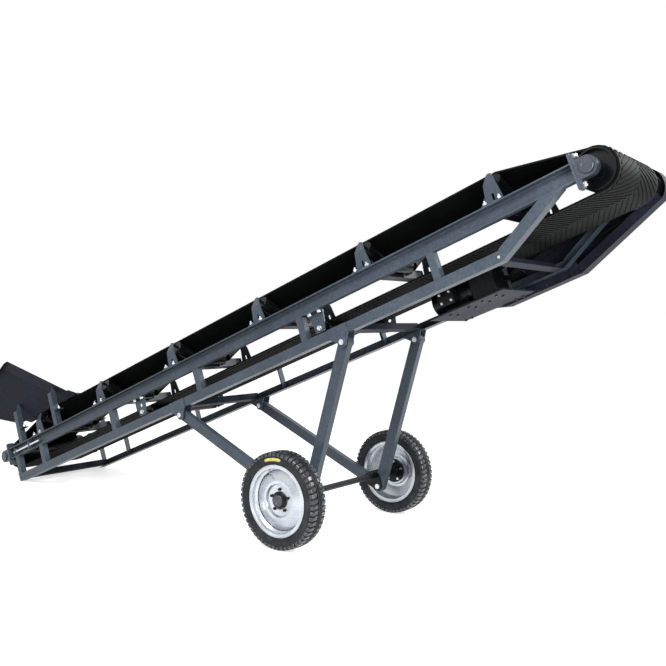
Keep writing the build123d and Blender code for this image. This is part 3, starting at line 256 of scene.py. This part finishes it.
# %% What is seen and what only gives light
def seen_share(tree):
    """Output that is 1 for camera, transmission and glossy rays, and 0 for rays that only gather light"""
    rays = add_node(tree, "ShaderNodeLightPath")
    share = rays.outputs["Is Camera Ray"]
    for kind in ("Is Transmission Ray", "Is Glossy Ray"):
        either = add_node(tree, "ShaderNodeMath", {"operation": "MAXIMUM"}, {0: share, 1: rays.outputs[kind]})
        share = either.outputs["Value"]
    return share


# %% [markdown]
# The floor is plain and pale. It catches the shadow as matt paint would, and a share of plain light lifts
# it to the white of the backdrop where it is seen. It is so wide that its edge lies at the horizon.

# %% Floor
floor_dim, floor_bright, floor_lift = 0.22, 0.91, 0.62
floor_material, tree, floor_shader = new_material("pale_floor")
floor_shader.inputs["Roughness"].default_value = 0.95
floor_shader.inputs["Specular IOR Level"].default_value = 0.0
seen = seen_share(tree)
floor_shade = add_node(tree, "ShaderNodeMapRange", {"To Min": floor_dim, "To Max": floor_bright}, {"Value": seen})
tree.links.new(floor_shade.outputs["Result"], floor_shader.inputs["Base Color"])
lifted = add_node(tree, "ShaderNodeMapRange", {"To Max": floor_lift}, {"Value": seen})
tree.links.new(lifted.outputs["Result"], floor_shader.inputs["Emission Strength"])
floor_shader.inputs["Emission Color"].default_value = (1, 1, 1, 1)
floor_wide, floor_drop = 900, 0.001
bpy.ops.mesh.primitive_plane_add(size=floor_wide, location=(0, 0, -floor_drop))
floor = bpy.context.object
floor.name = "pale_floor"
floor.data.materials.append(floor_material)
print("floor", floor_wide, "m wide, shade", floor_bright, "where seen and", floor_dim, "for the light it gives")

# %% [markdown]
# The world is white where it is seen and gives less than half of that as light, so that the lamps can
# shape the machine. The Standard view keeps white as white, where a film-like view would grey it.

# %% World
world_level = 0.45
scene = bpy.context.scene
scene.view_settings.view_transform = "Standard"
world = bpy.data.worlds.new("soft_world")
scene.world = world
world.use_nodes = True
tree = world.node_tree
tree.nodes.clear()
strength = add_node(tree, "ShaderNodeMapRange", {"To Min": world_level, "To Max": 1.0}, {"Value": seen_share(tree)})
sky = add_node(tree, "ShaderNodeBackground", {"Color": (1, 1, 1, 1)}, {"Strength": strength.outputs["Result"]})
add_node(tree, "ShaderNodeOutputWorld", None, {"Surface": sky.outputs["Background"]})
print("world gives light of", world_level)

# %% [markdown]
# Large soft lamps stand where the daylight of the photograph came from: a strong one high in front
# of the near side, a weaker one low at the head end that opens the shadow under the belt, and one high
# behind the head that draws bright lines along top edges and glints on the tyres' lugs.

# %% Lamps
def soft_lamp(name, place, target, size, power):
    """Square area lamp that faces a target"""
    data = bpy.data.lights.new(name, "AREA")
    data.size = size
    data.energy = power
    lamp = bpy.data.objects.new(name, data)
    bpy.context.scene.collection.objects.link(lamp)
    lamp.location = place
    lamp.rotation_euler = (Vector(target) - Vector(place)).to_track_quat("-Z", "Y").to_euler()
    print(name, power, "W")


soft_lamp("key_lamp", (1.0, -6.5, 6.5), (0, 0, 1.0), 4.0, 500)
soft_lamp("fill_lamp", (6.0, -2.5, 2.2), (0.7, 0, 0.6), 2.5, 190)
soft_lamp("edge_lamp", (5.5, 4.5, 5.0), (0.9, 0, 0.6), 2.0, 330)

# %% [markdown]
# Every solid keeps its shape and gets its finish here. The record names a finish for each node, which
# is a good start; a few nodes then get the coat that the photograph shows on them. The motor cradle and
# the cross members get the dark coat as painted shade, as they lie in the shadow under the belt.

# %% Paint on the carried-over solids
finishes = {
    "frame_paint": frame_paint, "black_paint": black_paint, "silver_paint": silver_paint,
    "zinc_plated_steel": zinc_plate, "belt_rubber": belt_rubber, "tyre_rubber": tyre_rubber,
}
for row in frame["record"]["subparts"]:
    piece = frame["nodes"][row["node"]]
    for k in range(len(piece.material_slots)):
        piece.material_slots[k].material = finishes[row["material_slot"]]
    if not piece.material_slots:
        piece.data.materials.append(finishes[row["material_slot"]])
frame["nodes"]["shaft_bearings"].material_slots[0].material = housing_paint
# On the motor cradle and the cross members, under the belt, this dark coat is painted shade.
for node in ("hopper_side_near", "hopper_side_far", "hopper_back", "motor_cradle", "cross_members",
             "drive_guard"):
    frame["nodes"][node].material_slots[0].material = dark_paint_and_painted_shade
frame["nodes"]["fork_plates_and_tie_rod"].material_slots[0].material = black_paint
print("painted", len(frame["nodes"]), "solids with", sorted(finishes))

# %% [markdown]
# Most of what the solids lack is turned or extruded: tyres, tread lugs, bolt heads, welds. Each starts
# as a circle primitive whose corners are moved to an outline, and is then spun or extruded in edit mode.
# Doubles are merged before the faces are turned outwards, and edges under 32 degrees are shaded smooth.

# %% Outlines that are turned or extruded
mm = 0.001


def start_outline(name, points, fill):
    """Circle primitive with its corners moved to an outline in metres, left open in edit mode"""
    bpy.ops.object.select_all(action="DESELECT")
    bpy.ops.mesh.primitive_circle_add(vertices=len(points), fill_type=fill)
    piece = bpy.context.object
    piece.name = name
    for vertex, point in zip(piece.data.vertices, points):
        vertex.co = point
    bpy.ops.object.mode_set(mode="EDIT")
    bpy.ops.mesh.select_all(action="SELECT")
    return piece


def close_piece(piece, material, smooth_deg=32):
    """Merges doubles, turns the faces outwards, leaves edit mode and gives the finish"""
    bpy.ops.mesh.select_all(action="SELECT")
    bpy.ops.mesh.remove_doubles(threshold=0.00004)
    bpy.ops.mesh.normals_make_consistent(inside=False)
    bpy.ops.object.mode_set(mode="OBJECT")
    bpy.ops.object.shade_smooth_by_angle(angle=math.radians(smooth_deg))
    piece.data.materials.clear()
    piece.data.materials.append(material)
    return piece


def turned_piece(name, outline, steps, centre, material, upright=False):
    """Spins a closed outline of (radius, along) in mm, about an axle across the machine or about Z"""
    if upright:
        points = [Vector(centre) + Vector((r, 0, a)) * mm for r, a in outline]
        axis = (0, 0, 1)
    else:
        points = [Vector(centre) + Vector((0, a, r)) * mm for r, a in outline]
        axis = (0, 1, 0)
    piece = start_outline(name, points, "NOTHING")
    bpy.ops.mesh.spin(steps=steps, angle=math.tau, center=centre, axis=axis)
    return close_piece(piece, material)


def extruded_piece(name, points, along, material, bevel_mm=0.0):
    """Fills an outline given in mm, extrudes it and rounds its edges a little"""
    piece = start_outline(name, [Vector(p) * mm for p in points], "NGON")
    bpy.ops.mesh.extrude_region_move(TRANSFORM_OT_translate={"value": tuple(v * mm for v in along)})
    if bevel_mm:
        bpy.ops.mesh.select_all(action="SELECT")
        bpy.ops.mesh.normals_make_consistent(inside=False)
        bpy.ops.mesh.bevel(offset=bevel_mm * mm, segments=1, affect="EDGES")
    return close_piece(piece, material)


print("sizes of new pieces are in mm, each", mm, "m")

# %% [markdown]
# What repeats is modelled once, at the origin, and copied to its places. Each copy has its own mesh,
# because its place goes into the mesh, and copies of one kind are joined as one piece on one body.

# %% Copies
def copied(model, name, places, body):
    """Copies of a model, each with its own mesh moved to its place, joined as one piece that rides on a body"""
    copies = []
    for place in places:
        copy = model.copy()
        copy.data = model.data.copy()
        copy.data.transform(place)
        bpy.context.scene.collection.objects.link(copy)
        copies.append(copy)
    bpy.ops.object.select_all(action="DESELECT")
    for copy in copies:
        copy.select_set(True)
    bpy.context.view_layer.objects.active = copies[0]
    bpy.ops.object.join()
    piece = bpy.context.object
    piece.name = name
    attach(piece, body)
    print(name, len(places), "copies,", len(piece.data.polygons), "faces")
    return piece


def put_away(*models):
    """Removes models that have been copied to their places"""
    for model in models:
        bpy.data.objects.remove(model)


# %% [markdown]
# The belt is a loop of more than 12 m: flat round both drums, and folded to a trough between them.
# What lies on it has to follow it, so a function says where a point is, in slope coordinates, from how
# far round the loop, how far across and how high over the rubber it is.

# %% Where a point lies on the belt
belt_half = 325.0
flat_half = 130.0
fold_turn = math.radians(30)
sheet_thick = 12.0
drum_low, trough_low = 384.3, 423.3
tail_drum_x, head_drum_x = -168.0, 5622.0
first_fold, last_fold = 366.0, 5094.0
drum_up, loop_radius = 272.0, 124.3
run_length = head_drum_x - tail_drum_x
arc_length = math.pi * loop_radius
loop_length = (run_length + arc_length) * 2


def folded_corner(share, is_edge):
    """Inner corner or edge of the belt's upper face, (across, up), folded by a share of the full trough"""
    if is_edge:
        flat, side = belt_half, belt_half - flat_half
        full = (flat_half + side * math.cos(fold_turn) - sheet_thick * math.sin(fold_turn),
                trough_low + side * math.sin(fold_turn) + sheet_thick * math.cos(fold_turn))
    else:
        flat = flat_half
        full = (flat_half - sheet_thick * math.tan(fold_turn / 2), trough_low + sheet_thick)
    return [a + (b - a) * share for a, b in zip((flat, drum_low + sheet_thick), full)]


def on_belt(round_loop, across, high):
    """Point of the belt's outer face on the slope, in mm, lifted off it by a height"""
    s = round_loop % loop_length
    if s < run_length:
        x = tail_drum_x + s
        share = max(0.0, min(1.0, (x - tail_drum_x) / (first_fold - tail_drum_x),
                             (head_drum_x - x) / (head_drum_x - last_fold)))
        inner, edge = folded_corner(share, False), folded_corner(share, True)
        w = abs(across)
        if w <= flat_half:
            return (x, across / flat_half * inner[0], inner[1] + high)
        part = (w - flat_half) / (belt_half - flat_half)
        reach = math.dist(inner, edge)
        lean, rise = (edge[1] - inner[1]) / reach, (edge[0] - inner[0]) / reach
        y = inner[0] + (edge[0] - inner[0]) * part - lean * high
        return (x, math.copysign(y, across), inner[1] + (edge[1] - inner[1]) * part + rise * high)
    s -= run_length
    if s < arc_length:
        turn = s / loop_radius
        return (head_drum_x + (loop_radius + high) * math.sin(turn), across,
                drum_up + (loop_radius + high) * math.cos(turn))
    s -= arc_length
    if s < run_length:
        return (head_drum_x - s, across, drum_up - loop_radius - high)
    turn = (s - run_length) / loop_radius
    return (tail_drum_x - (loop_radius + high) * math.sin(turn), across,
            drum_up - (loop_radius + high) * math.cos(turn))


trough_edge = on_belt(run_length / 2, belt_half, 0)
print("belt loop", round(loop_length), "mm, edge of the trough at", [round(v) for v in trough_edge])

# %% [markdown]
# The belt carries chevron ribs, moulded with it. They rise 4 mm, rake back by 24 degrees on both sides
# of the middle, and repeat every 34 mm. They could be a bump in the rubber, but they show at the edge of
# the drum, so they are shapes: one rib is cut from a grid, repeated by an array and wrapped on the loop.

# %% Chevron ribs round the belt
rib_count = 364
rib_pitch = loop_length / rib_count
rib_reach, rib_wide, rib_high, rib_sunk = 298.0, 18.0, 4.0, 1.5
chevron_rake = 0.44
bpy.ops.object.select_all(action="DESELECT")
bpy.ops.mesh.primitive_grid_add(x_subdivisions=14, y_subdivisions=1, size=1.0)
ribs = bpy.context.object
ribs.name = "belt_chevron_ribs"
for vertex in ribs.data.vertices:
    across = vertex.co.x * 2 * rib_reach
    vertex.co = Vector((vertex.co.y * rib_wide + abs(across) * chevron_rake, across, -rib_sunk)) * mm
bpy.ops.object.mode_set(mode="EDIT")
bpy.ops.mesh.select_all(action="SELECT")
bpy.ops.mesh.extrude_region_move(TRANSFORM_OT_translate={"value": (0, 0, (rib_high + rib_sunk) * mm)})
close_piece(ribs, rib_rubber, 25)
row = ribs.modifiers.new("row", "ARRAY")
row.count = rib_count
row.use_relative_offset = False
row.use_constant_offset = True
row.constant_offset_displace = (rib_pitch * mm, 0, 0)
bpy.ops.object.modifier_apply(modifier="row")
for vertex in ribs.data.vertices:
    vertex.co = on_slope(*on_belt(vertex.co.x / mm, vertex.co.y / mm, vertex.co.z / mm))
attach(ribs, "frame")
print(rib_count, "ribs", round(rib_pitch, 1), "mm apart,", len(ribs.data.polygons), "faces")

# %% [markdown]
# A tyre is a turned carcass with separate tread lugs. The carcass follows the solid's outline but its
# tread floor lies 9 mm lower, with a centre rib that has a narrow groove. The sidewall has two raised
# rings. Turning is how the real mould is made too, so the outline is all that has to be drawn.

# %% Tyre carcass
def tyre_outline():
    """(radius, across) of the carcass from the near bead over the tread to the far bead and back inside"""
    side = [
        (211, 46.5), (225, 46.8), (229, 52), (233, 55.6), (240, 58.6), (243, 59.6), (244.5, 61.6), (248, 62.0),
        (249.5, 60.9), (257, 62.6), (266, 63.2), (273, 62.8), (274.5, 63.8), (278, 63.4), (279.5, 61.6),
        (289, 59.0), (297, 56.0), (301.5, 51.0), (302.4, 21.0), (302.6, 15.5), (309.6, 13.5), (310.8, 3.0),
        (305.5, 2.2),
    ]
    inside = [(283, 44), (268, 52), (245, 50), (226, 34), (211, 31)]
    return ([(r, -y) for r, y in side] + [(r, y) for r, y in reversed(side)]
            + [(r, y) for r, y in reversed(inside)] + [(r, -y) for r, y in inside])


print("tyre outline", len(tyre_outline()), "corners")

# %% [markdown]
# The lugs at both shoulders, 54 a side, fill the carcass out to the full diameter again. One lug is an
# outline across the tyre, extruded along it, with its edges bevelled as rubber comes from a mould, and
# slanted a little. Copies stand round the wheel, those of the far shoulder half a step further on.

# %% Tread lug and its copies
lug_outline = [(20.5, 300), (20.5, 309.8), (34, 309.6), (50, 308.8), (59, 305.8),
               (65, 299), (66.5, 290), (64, 282), (58, 281), (50, 298)]
lug_count = 54
lug_long = 23.0
lug_slant, lug_middle = 7.0, 41
lug_rounding = 1.2
lug = extruded_piece("tread_lug", [(-lug_long / 2, y, r) for y, r in lug_outline], (lug_long, 0, 0),
                     lug_dust_and_painted_highlight_rubber, lug_rounding)
for vertex in lug.data.vertices:
    vertex.co.x += (lug_middle - vertex.co.y / mm) / lug_middle * lug_slant * mm
for side, hub, body in ((-1, hub_near, "near_wheel"), (1, hub_far, "far_wheel")):
    label = "near" if side < 0 else "far"
    carcass = turned_piece("tyre_carcass_" + label, tyre_outline(), 2 * lug_count, hub, tyre_rubber)
    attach(carcass, body)
    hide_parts("tyre_" + label)
    places = []
    for flip, shift_deg in ((1, 0.0), (-1, 180 / lug_count)):
        for k in range(lug_count):
            turn = Matrix.Rotation(math.radians(360 * k / lug_count + shift_deg), 4, "Y")
            turn_flip = Matrix.Rotation(0 if flip > 0 else math.pi, 4, "Z")
            places.append(Matrix.Translation(hub) @ turn @ turn_flip)
    copied(lug, "tread_lugs_" + label, places, body)
put_away(lug)

# %% [markdown]
# Bolts are hexagon heads on washers. One model of each size is made from two cylinders in one mesh,
# with the head's top face inset and raised for its chamfer. Where the photograph shows a nut, the end
# of the thread stands out of it as a third cylinder. Chamfer and thread are shares of the head's width.

# %% Bolt models
chamfer_share, chamfer_rise, thread_share = 0.07, 0.05, 0.26


def bolt_model(name, across_corners, head, washer_dia, washer, material, thread_end=0.0):
    """Hexagon head or nut with a chamfered top on a round washer, and the thread that stands out of a nut"""
    bpy.ops.object.select_all(action="DESELECT")
    bpy.ops.mesh.primitive_cylinder_add(vertices=16, radius=washer_dia / 2 * mm, depth=washer * mm,
                                        location=(0, 0, 0))
    model = bpy.context.object
    model.name = name
    bpy.ops.object.mode_set(mode="EDIT")
    bpy.ops.transform.translate(value=(0, 0, washer / 2 * mm))
    bpy.ops.mesh.primitive_cylinder_add(vertices=6, radius=across_corners / 2 * mm, depth=head * mm,
                                        location=(0, 0, (washer + head / 2) * mm))
    bpy.ops.object.mode_set(mode="OBJECT")
    top = (washer + head) * mm
    for face in model.data.polygons:
        face.select = abs(face.center.z - top) < 0.0001
    bpy.ops.object.mode_set(mode="EDIT")
    bpy.ops.mesh.select_mode(type="FACE")
    bpy.ops.mesh.inset(thickness=across_corners * chamfer_share * mm, depth=across_corners * chamfer_rise * mm)
    bpy.ops.mesh.select_mode(type="VERT")
    if thread_end:
        bpy.ops.mesh.primitive_cylinder_add(vertices=10, radius=across_corners * thread_share * mm,
                                            depth=thread_end * mm, location=(0, 0, top + thread_end / 2 * mm))
    return close_piece(model, material, 25)


frame_bolt = bolt_model("frame_bolt", 24.0, 11.0, 29.0, 3.0, zinc_plate)
foot_nut = bolt_model("foot_nut", 24.0, 13.0, 30.0, 3.0, zinc_plate, 13.0)
large_bolt = bolt_model("large_bolt", 27.0, 10.0, 32.0, 3.0, zinc_plate)
small_bolt = bolt_model("small_bolt", 14.0, 5.5, 17.0, 1.6, zinc_plate)
hub_bolt = bolt_model("hub_bolt", 18.0, 6.0, 19.0, 1.5, zinc_plate)
wheel_nut = bolt_model("wheel_nut", 17.0, 9.0, 20.0, 1.5, dark_paint_and_painted_shade)
for model in (frame_bolt, foot_nut, large_bolt, small_bolt, hub_bolt, wheel_nut):
    print(model.name, len(model.data.polygons), "faces")

# %% [markdown]
# A bolt's model stands with its washer on Z = 0. On the machine it points up, down, to the far or the
# near side, or to the head or the tail, always along or across the slope.

# %% Places on the slope
turns = {"up": (0, "X"), "down": (180, "X"), "far": (-90, "X"), "near": (90, "X"),
         "head": (90, "Y"), "tail": (-90, "Y")}


def standing(along, across, up, way="up", spin_deg=0.0):
    """Place on the slope, in mm, for a model that stands on Z = 0 and is turned to point one way"""
    angle, axis = turns[way]
    return (slope_place @ Matrix.Translation(Vector((along, across, up)) * mm)
            @ Matrix.Rotation(math.radians(angle), 4, axis) @ Matrix.Rotation(math.radians(spin_deg), 4, "Z"))


# %% [markdown]
# Idler frames, return brackets and hopper posts are bolted to the chords, and the shaft bearings to
# their end plates. Each row below is the same on both sides of the machine: an outward head on one side
# is a mirrored place on the other, and every bolt is turned a little differently, as a spanner leaves it.

# %% Bolts on the frame
sides = (-1, 1)
idler_places = [380.0 + 940.0 * k for k in range(6)]
outward = {-1: "near", 1: "far"}
bolt_row = 433
rail_top, rail_underside = 329, 217
foot_pair, bracket_pair, post_pair, bearing_pair = (-46, 46), (-40, 40), (18, 66), (-77, 77)
foot_bolts = [standing(x + d, s * bolt_row, rail_top, "up", 11 * k + d)
              for k, x in enumerate(idler_places) for d in foot_pair for s in sides]
copied(foot_nut, "idler_foot_bolts", foot_bolts, "frame")
return_places = (1814.0, 3694.0)
return_bolts = [standing(x + d, s * bolt_row, rail_underside, "down", 17 + d)
                for x in return_places for d in bracket_pair for s in sides]
copied(frame_bolt, "return_bracket_bolts", return_bolts, "frame")
bracket_face, return_axle_up = 417, 109
return_nuts = [standing(x, s * bracket_face, return_axle_up, outward[s], 12) for x in return_places for s in sides]
copied(large_bolt, "return_roller_nuts", return_nuts, "frame")
hopper_posts = (110.0, 685.0)
post_row, post_bracket_top = 418, 453
post_bolts = [standing(x + d, s * post_row, post_bracket_top, "up", 20 + d)
              for x in hopper_posts for d in post_pair for s in sides]
copied(foot_nut, "hopper_post_bolts", post_bolts, "frame")
knee_along, knee_up, chord_face = 5020, 30, 456
brace_bolts = [standing(knee_along, s * chord_face, knee_up, outward[s], 8) for s in sides]
copied(small_bolt, "head_brace_bolts", brace_bolts, "frame")
bearing_row, head_base, tail_base = 432.0, 5575, -110.3
head_bolts = [standing(head_base, s * bearing_row, drum_up + d, "head", 9) for d in bearing_pair for s in sides]
tail_bolts = [standing(tail_base, s * bearing_row, drum_up + d, "tail", 9) for d in bearing_pair for s in sides]
copied(large_bolt, "pillow_block_bolts", head_bolts + tail_bolts, "frame")
put_away(frame_bolt, foot_nut)

# %% [markdown]
# Five studs hold each wheel to its hub, on a circle of 140 mm. Dark nuts sit outside on the disc and
# zinc plated heads inside on the flange. Both turn with the wheel, so they ride on its body.

# %% Wheel nuts outside and bolt heads inside
stud_count, stud_radius = 5, 70
disc_face, flange_face = 20.0, 4.0
for side, hub, body in ((-1, hub_near, "near_wheel"), (1, hub_far, "far_wheel")):
    label = "near" if side < 0 else "far"
    outer, inner = [], []
    for k in range(stud_count):
        spin = Matrix.Rotation(math.tau * k / stud_count, 4, "Y")
        for rows, face, way in ((outer, disc_face, outward[side]), (inner, flange_face, outward[-side])):
            turn = Matrix.Rotation(math.radians(turns[way][0]), 4, "X")
            foot = Matrix.Translation(Vector((0, side * face, stud_radius)) * mm)
            rows.append(Matrix.Translation(hub) @ spin @ foot @ turn)
    copied(wheel_nut, "wheel_nuts_" + label, outer, body)
    copied(hub_bolt, "wheel_bolt_heads_" + label, inner, body)
put_away(wheel_nut, hub_bolt, large_bolt)

# %% [markdown]
# A rubber valve stem stands in a hole of each rim, leaning outwards so that a pump can reach it. It is
# a turned piece: a wide foot, a slim stem and a cap. From the near side it stands up and left of the hub.

# %% Tyre valves
valve_radius, valve_across = 181, 26
valve_turn_deg, valve_lean_deg = -31, 12
valve_outline = [(0, 0), (6.5, 0), (6.5, 5), (4.2, 8), (4.2, 34), (5.0, 34), (5.0, 44), (3.6, 46), (0, 46)]
for side, hub, body in ((-1, hub_near, "near_wheel"), (1, hub_far, "far_wheel")):
    label = "near" if side < 0 else "far"
    valve = turned_piece("tyre_valve_" + label, valve_outline, 12, (0, 0, 0), black_paint, upright=True)
    spin = Matrix.Rotation(math.radians(valve_turn_deg), 4, "Y")
    lean = Matrix.Rotation(math.radians(turns[outward[side]][0] - side * valve_lean_deg), 4, "X")
    foot = Matrix.Translation(Vector((0, side * valve_across, valve_radius)) * mm)
    valve.data.transform(Matrix.Translation(hub) @ spin @ foot @ lean)
    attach(valve, body)
    print("tyre valve on", body)

# %% [markdown]
# A pressed wheel is a rim and a disc welded together. Its outer edge is rolled over and a hump holds the
# tyre's bead; each is a small round ring, spun about the axle, that lies on the solid rim. A thin black
# ring of the same kind, laid in the joint of disc and rim, is a painted shadow line. A stepped cap in
# cast iron enamel closes each hub.

# %% Rolled edges, humps and joint of the rims
def wheel_ring(name, radius, across, thick, hub, material, body):
    """Round ring about a wheel's axle: its middle lies at a radius and a place across, in mm"""
    corners = [math.tau * k / 8 for k in range(8)]
    outline = [(radius + thick * math.cos(turn), across + thick * math.sin(turn)) for turn in corners]
    ring = turned_piece(name, outline, 96, hub, material)
    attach(ring, body)


cap_outline = [(0, 39.6), (36, 39.6), (36, 41), (33.5, 43), (25, 43), (23, 41.4), (15, 41.4), (13, 44), (0, 44.6)]
for side, hub, body in ((-1, hub_near, "near_wheel"), (1, hub_far, "far_wheel")):
    label = "near" if side < 0 else "far"
    wheel_ring("rim_rolled_edge_" + label, 226.0, side * 56.5, 3.4, hub, silver_paint, body)
    wheel_ring("rim_bead_hump_" + label, 207.0, side * 33.0, 3.6, hub, silver_paint, body)
    wheel_ring("rim_inner_edge_" + label, 226.0, -side * 56.5, 3.4, hub, silver_paint, body)
    # A black ring in the joint of disc and rim: a painted shadow line.
    wheel_ring("disc_joint_shadow_line_" + label, 191.3, side * 12.4, 3.0, hub, black_paint, body)
    cap = turned_piece("hub_cap_face_" + label, [(r, side * a) for r, a in cap_outline], 40, hub, housing_paint)
    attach(cap, body)
    print("rings and cap on", body)

# %% [markdown]
# A new tyre wears a paper label, here a plain yellow one. It is a curved strip on the sidewall, so a grid
# is bent round the hub, narrowed a little at both ends for rounded corners, and extruded for a thin edge.

# %% Blank label
label_paper, tree, shader = new_material("yellow_label_paper")
place = add_node(tree, "ShaderNodeTexCoord")
fibre = add_node(tree, "ShaderNodeTexNoise", {"Scale": 1000 / 12, "Detail": 4.0},
                 {"Vector": place.outputs["Object"]})
colour = add_node(tree, "ShaderNodeValToRGB", {"stops": ((0.3, "#dcbf52"), (0.5, "#ecd878"), (0.72, "#f6ecb0"))},
                  {"Fac": fibre.outputs["Fac"]})
tree.links.new(colour.outputs["Color"], shader.inputs["Base Color"])
shader.inputs["Roughness"].default_value = 0.55
label_from, label_to, label_low, label_high = 81.0, 110.0, 252.5, 271.5
end_pinch = 0.25
sidewall_low, sidewall_bulge, sidewall_from, sidewall_wide = 61.6, 1.9, 247, 32
paper_thick = 0.8
bpy.ops.object.select_all(action="DESELECT")
bpy.ops.mesh.primitive_grid_add(x_subdivisions=16, y_subdivisions=3, size=1.0)
patch = bpy.context.object
patch.name = "blank_tyre_label"
for vertex in patch.data.vertices:
    share = abs(vertex.co.x) * 2
    angle = math.radians(label_from + (label_to - label_from) * (vertex.co.x + 0.5))
    pinch = 1 - end_pinch * share ** 6
    radius = (label_low + label_high) / 2 + (label_high - label_low) * vertex.co.y * pinch
    face_y = sidewall_low + sidewall_bulge * math.sin(math.pi * (radius - sidewall_from) / sidewall_wide)
    vertex.co = hub_near + Vector((radius * math.cos(angle), -face_y, radius * math.sin(angle))) * mm
bpy.ops.object.mode_set(mode="EDIT")
bpy.ops.mesh.select_all(action="SELECT")
bpy.ops.mesh.extrude_region_move(TRANSFORM_OT_translate={"value": (0, -paper_thick * mm, 0)})
close_piece(patch, label_paper)
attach(patch, "near_wheel")
print("label", label_high - label_low, "mm high,", len(patch.data.polygons), "faces")

# %% [markdown]
# Where the uprights meet the chords they are welded. A weld is a row of overlapping ripples; one bead is
# a turned spindle with a wavy outline, laid into each corner so that half of it sinks into the steel.

# %% Weld beads
bead_long, bead_ripples = 44.0, 7
ripple_long = bead_long / bead_ripples
ripple_crest, ripple_valley = 3.1, 2.3
bead_outline = [(0, -bead_long / 2)]
for k in range(bead_ripples):
    middle = (k + 0.5) * ripple_long - bead_long / 2
    bead_outline += [(ripple_crest, middle), (ripple_valley, middle + ripple_long / 2 - 0.6)]
bead_outline += [(0, bead_long / 2)]
bead = turned_piece("weld_bead", bead_outline, 6, (0, 0, 0), frame_paint, upright=True)
post_places = [50.0] + [451.0 + 1050.0 * k for k in range(5)]
weld_face = 455.5
chord_joints, rail_joint = (63.5, 222.5), 323.5
bead_places = []
for s in sides:
    for x in post_places:
        for up in chord_joints:
            bead_places.append(standing(x - 25, s * weld_face, up, "head"))
    for x in hopper_posts:
        bead_places.append(standing(x + 25, s * weld_face, rail_joint, "head"))
copied(bead, "post_weld_beads", bead_places, "frame")
put_away(bead)

# %% [markdown]
# The motor has a terminal box on the side that faces the near chord, closed by a flat lid with four
# screws. The box is a cube: its near face is inset for the lid's edge and raised, then all is bevelled.

# %% Motor terminal box
box_size = (0.094, 0.046, 0.078)
box_along, box_across, box_up = 4400, 24, 50
bpy.ops.object.select_all(action="DESELECT")
bpy.ops.mesh.primitive_cube_add(size=1.0)
terminal_box = bpy.context.object
terminal_box.name = "motor_terminal_box"
terminal_box.scale = box_size
bpy.ops.object.transform_apply(location=False, rotation=False, scale=True)
for face in terminal_box.data.polygons:
    face.select = face.normal.y < -0.9
bpy.ops.object.mode_set(mode="EDIT")
bpy.ops.mesh.select_mode(type="FACE")
bpy.ops.mesh.inset(thickness=0.003, depth=0.002)
bpy.ops.mesh.inset(thickness=0.001, depth=0.009)
bpy.ops.mesh.select_mode(type="VERT")
bpy.ops.mesh.select_all(action="SELECT")
bpy.ops.mesh.bevel(offset=0.0025, segments=2, affect="EDGES")
close_piece(terminal_box, black_paint)
terminal_box.data.transform(slope_place @ Matrix.Translation(Vector((box_along, box_across, box_up)) * mm))
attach(terminal_box, "frame")
lid_face = -9.5
lid_screws = [standing(box_along + dx, lid_face, box_up + dz, "near") for dx in (-36, 36) for dz in (-28, 28)]
copied(small_bolt, "terminal_box_screws", lid_screws, "frame")

# %% [markdown]
# Motor and gearbox are bolted to their base plate from below, with black bolts. The guard over the V
# belts is screwed on round its edge, as it has to come off when the belts are changed.

# %% Base bolts and guard screws
base_bolt = bolt_model("base_bolt", 14.0, 5.5, 17.0, 1.6, black_paint)
cradle_under = -50
cradle_bolts = [standing(x, 425, cradle_under, "down") for x in (4270, 4320, 4660, 4712)]
cradle_bolts += [standing(x, 110 + d, cradle_under, "down") for x in (4360, 4500, 4600, 4700) for d in (-48, 48)]
copied(base_bolt, "motor_base_bolts", cradle_bolts, "frame")
guard_face = 566
guard_places = ((4500, 20), (4800, -30), (5080, -28), (5350, 60), (5600, 340), (5150, 225))
guard_bolts = [standing(x, guard_face, up, "far") for x, up in guard_places]
copied(small_bolt, "guard_screws", guard_bolts, "frame")
put_away(small_bolt, base_bolt)

# %% [markdown]
# The guard under the drive is folded from sheet. Its near edge is turned up into a lip, which is the
# band under the head in the photograph. The lip is a long strip that follows the guard's lower
# outline, filled and extruded by the thickness of the sheet.

# %% Lip of the drive guard
lip_low = [(4385, -12), (4560, -62), (5110, -52), (5702, 176)]
lip_high = [(5680, 231), (5094, 6), (4570, -4), (4410, 38)]
lip_y, lip_thick = 462.6, 3.0
lip = extruded_piece("guard_lip", [(x, lip_y, up) for x, up in lip_low + lip_high], (0, lip_thick, 0),
                     dark_paint_and_painted_shade, 0.8)
lip.data.transform(slope_place)
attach(lip, "frame")
print("guard lip", len(lip.data.polygons), "faces")

# %% [markdown]
# A stamped cover closes the outer end of each bearing, with a raised rim round a flat middle. It is
# turned upright at the origin and copied to the three bearings that can be seen; the guard hides the
# fourth, where the shaft goes on to its pulley.

# %% Covers on the shaft bearings
cover_outline = [(0, 0), (39, 0), (39, 2.5), (36, 5), (24, 5), (22, 3.6), (0, 3.6)]
cover = turned_piece("bearing_cover", cover_outline, 40, (0, 0, 0), housing_paint, upright=True)
cap_face = 466
cover_places = [standing(head_drum_x, -cap_face, drum_up, "near")]
cover_places += [standing(tail_drum_x, s * cap_face, drum_up, outward[s]) for s in sides]
copied(cover, "bearing_covers", cover_places, "frame")
put_away(cover)
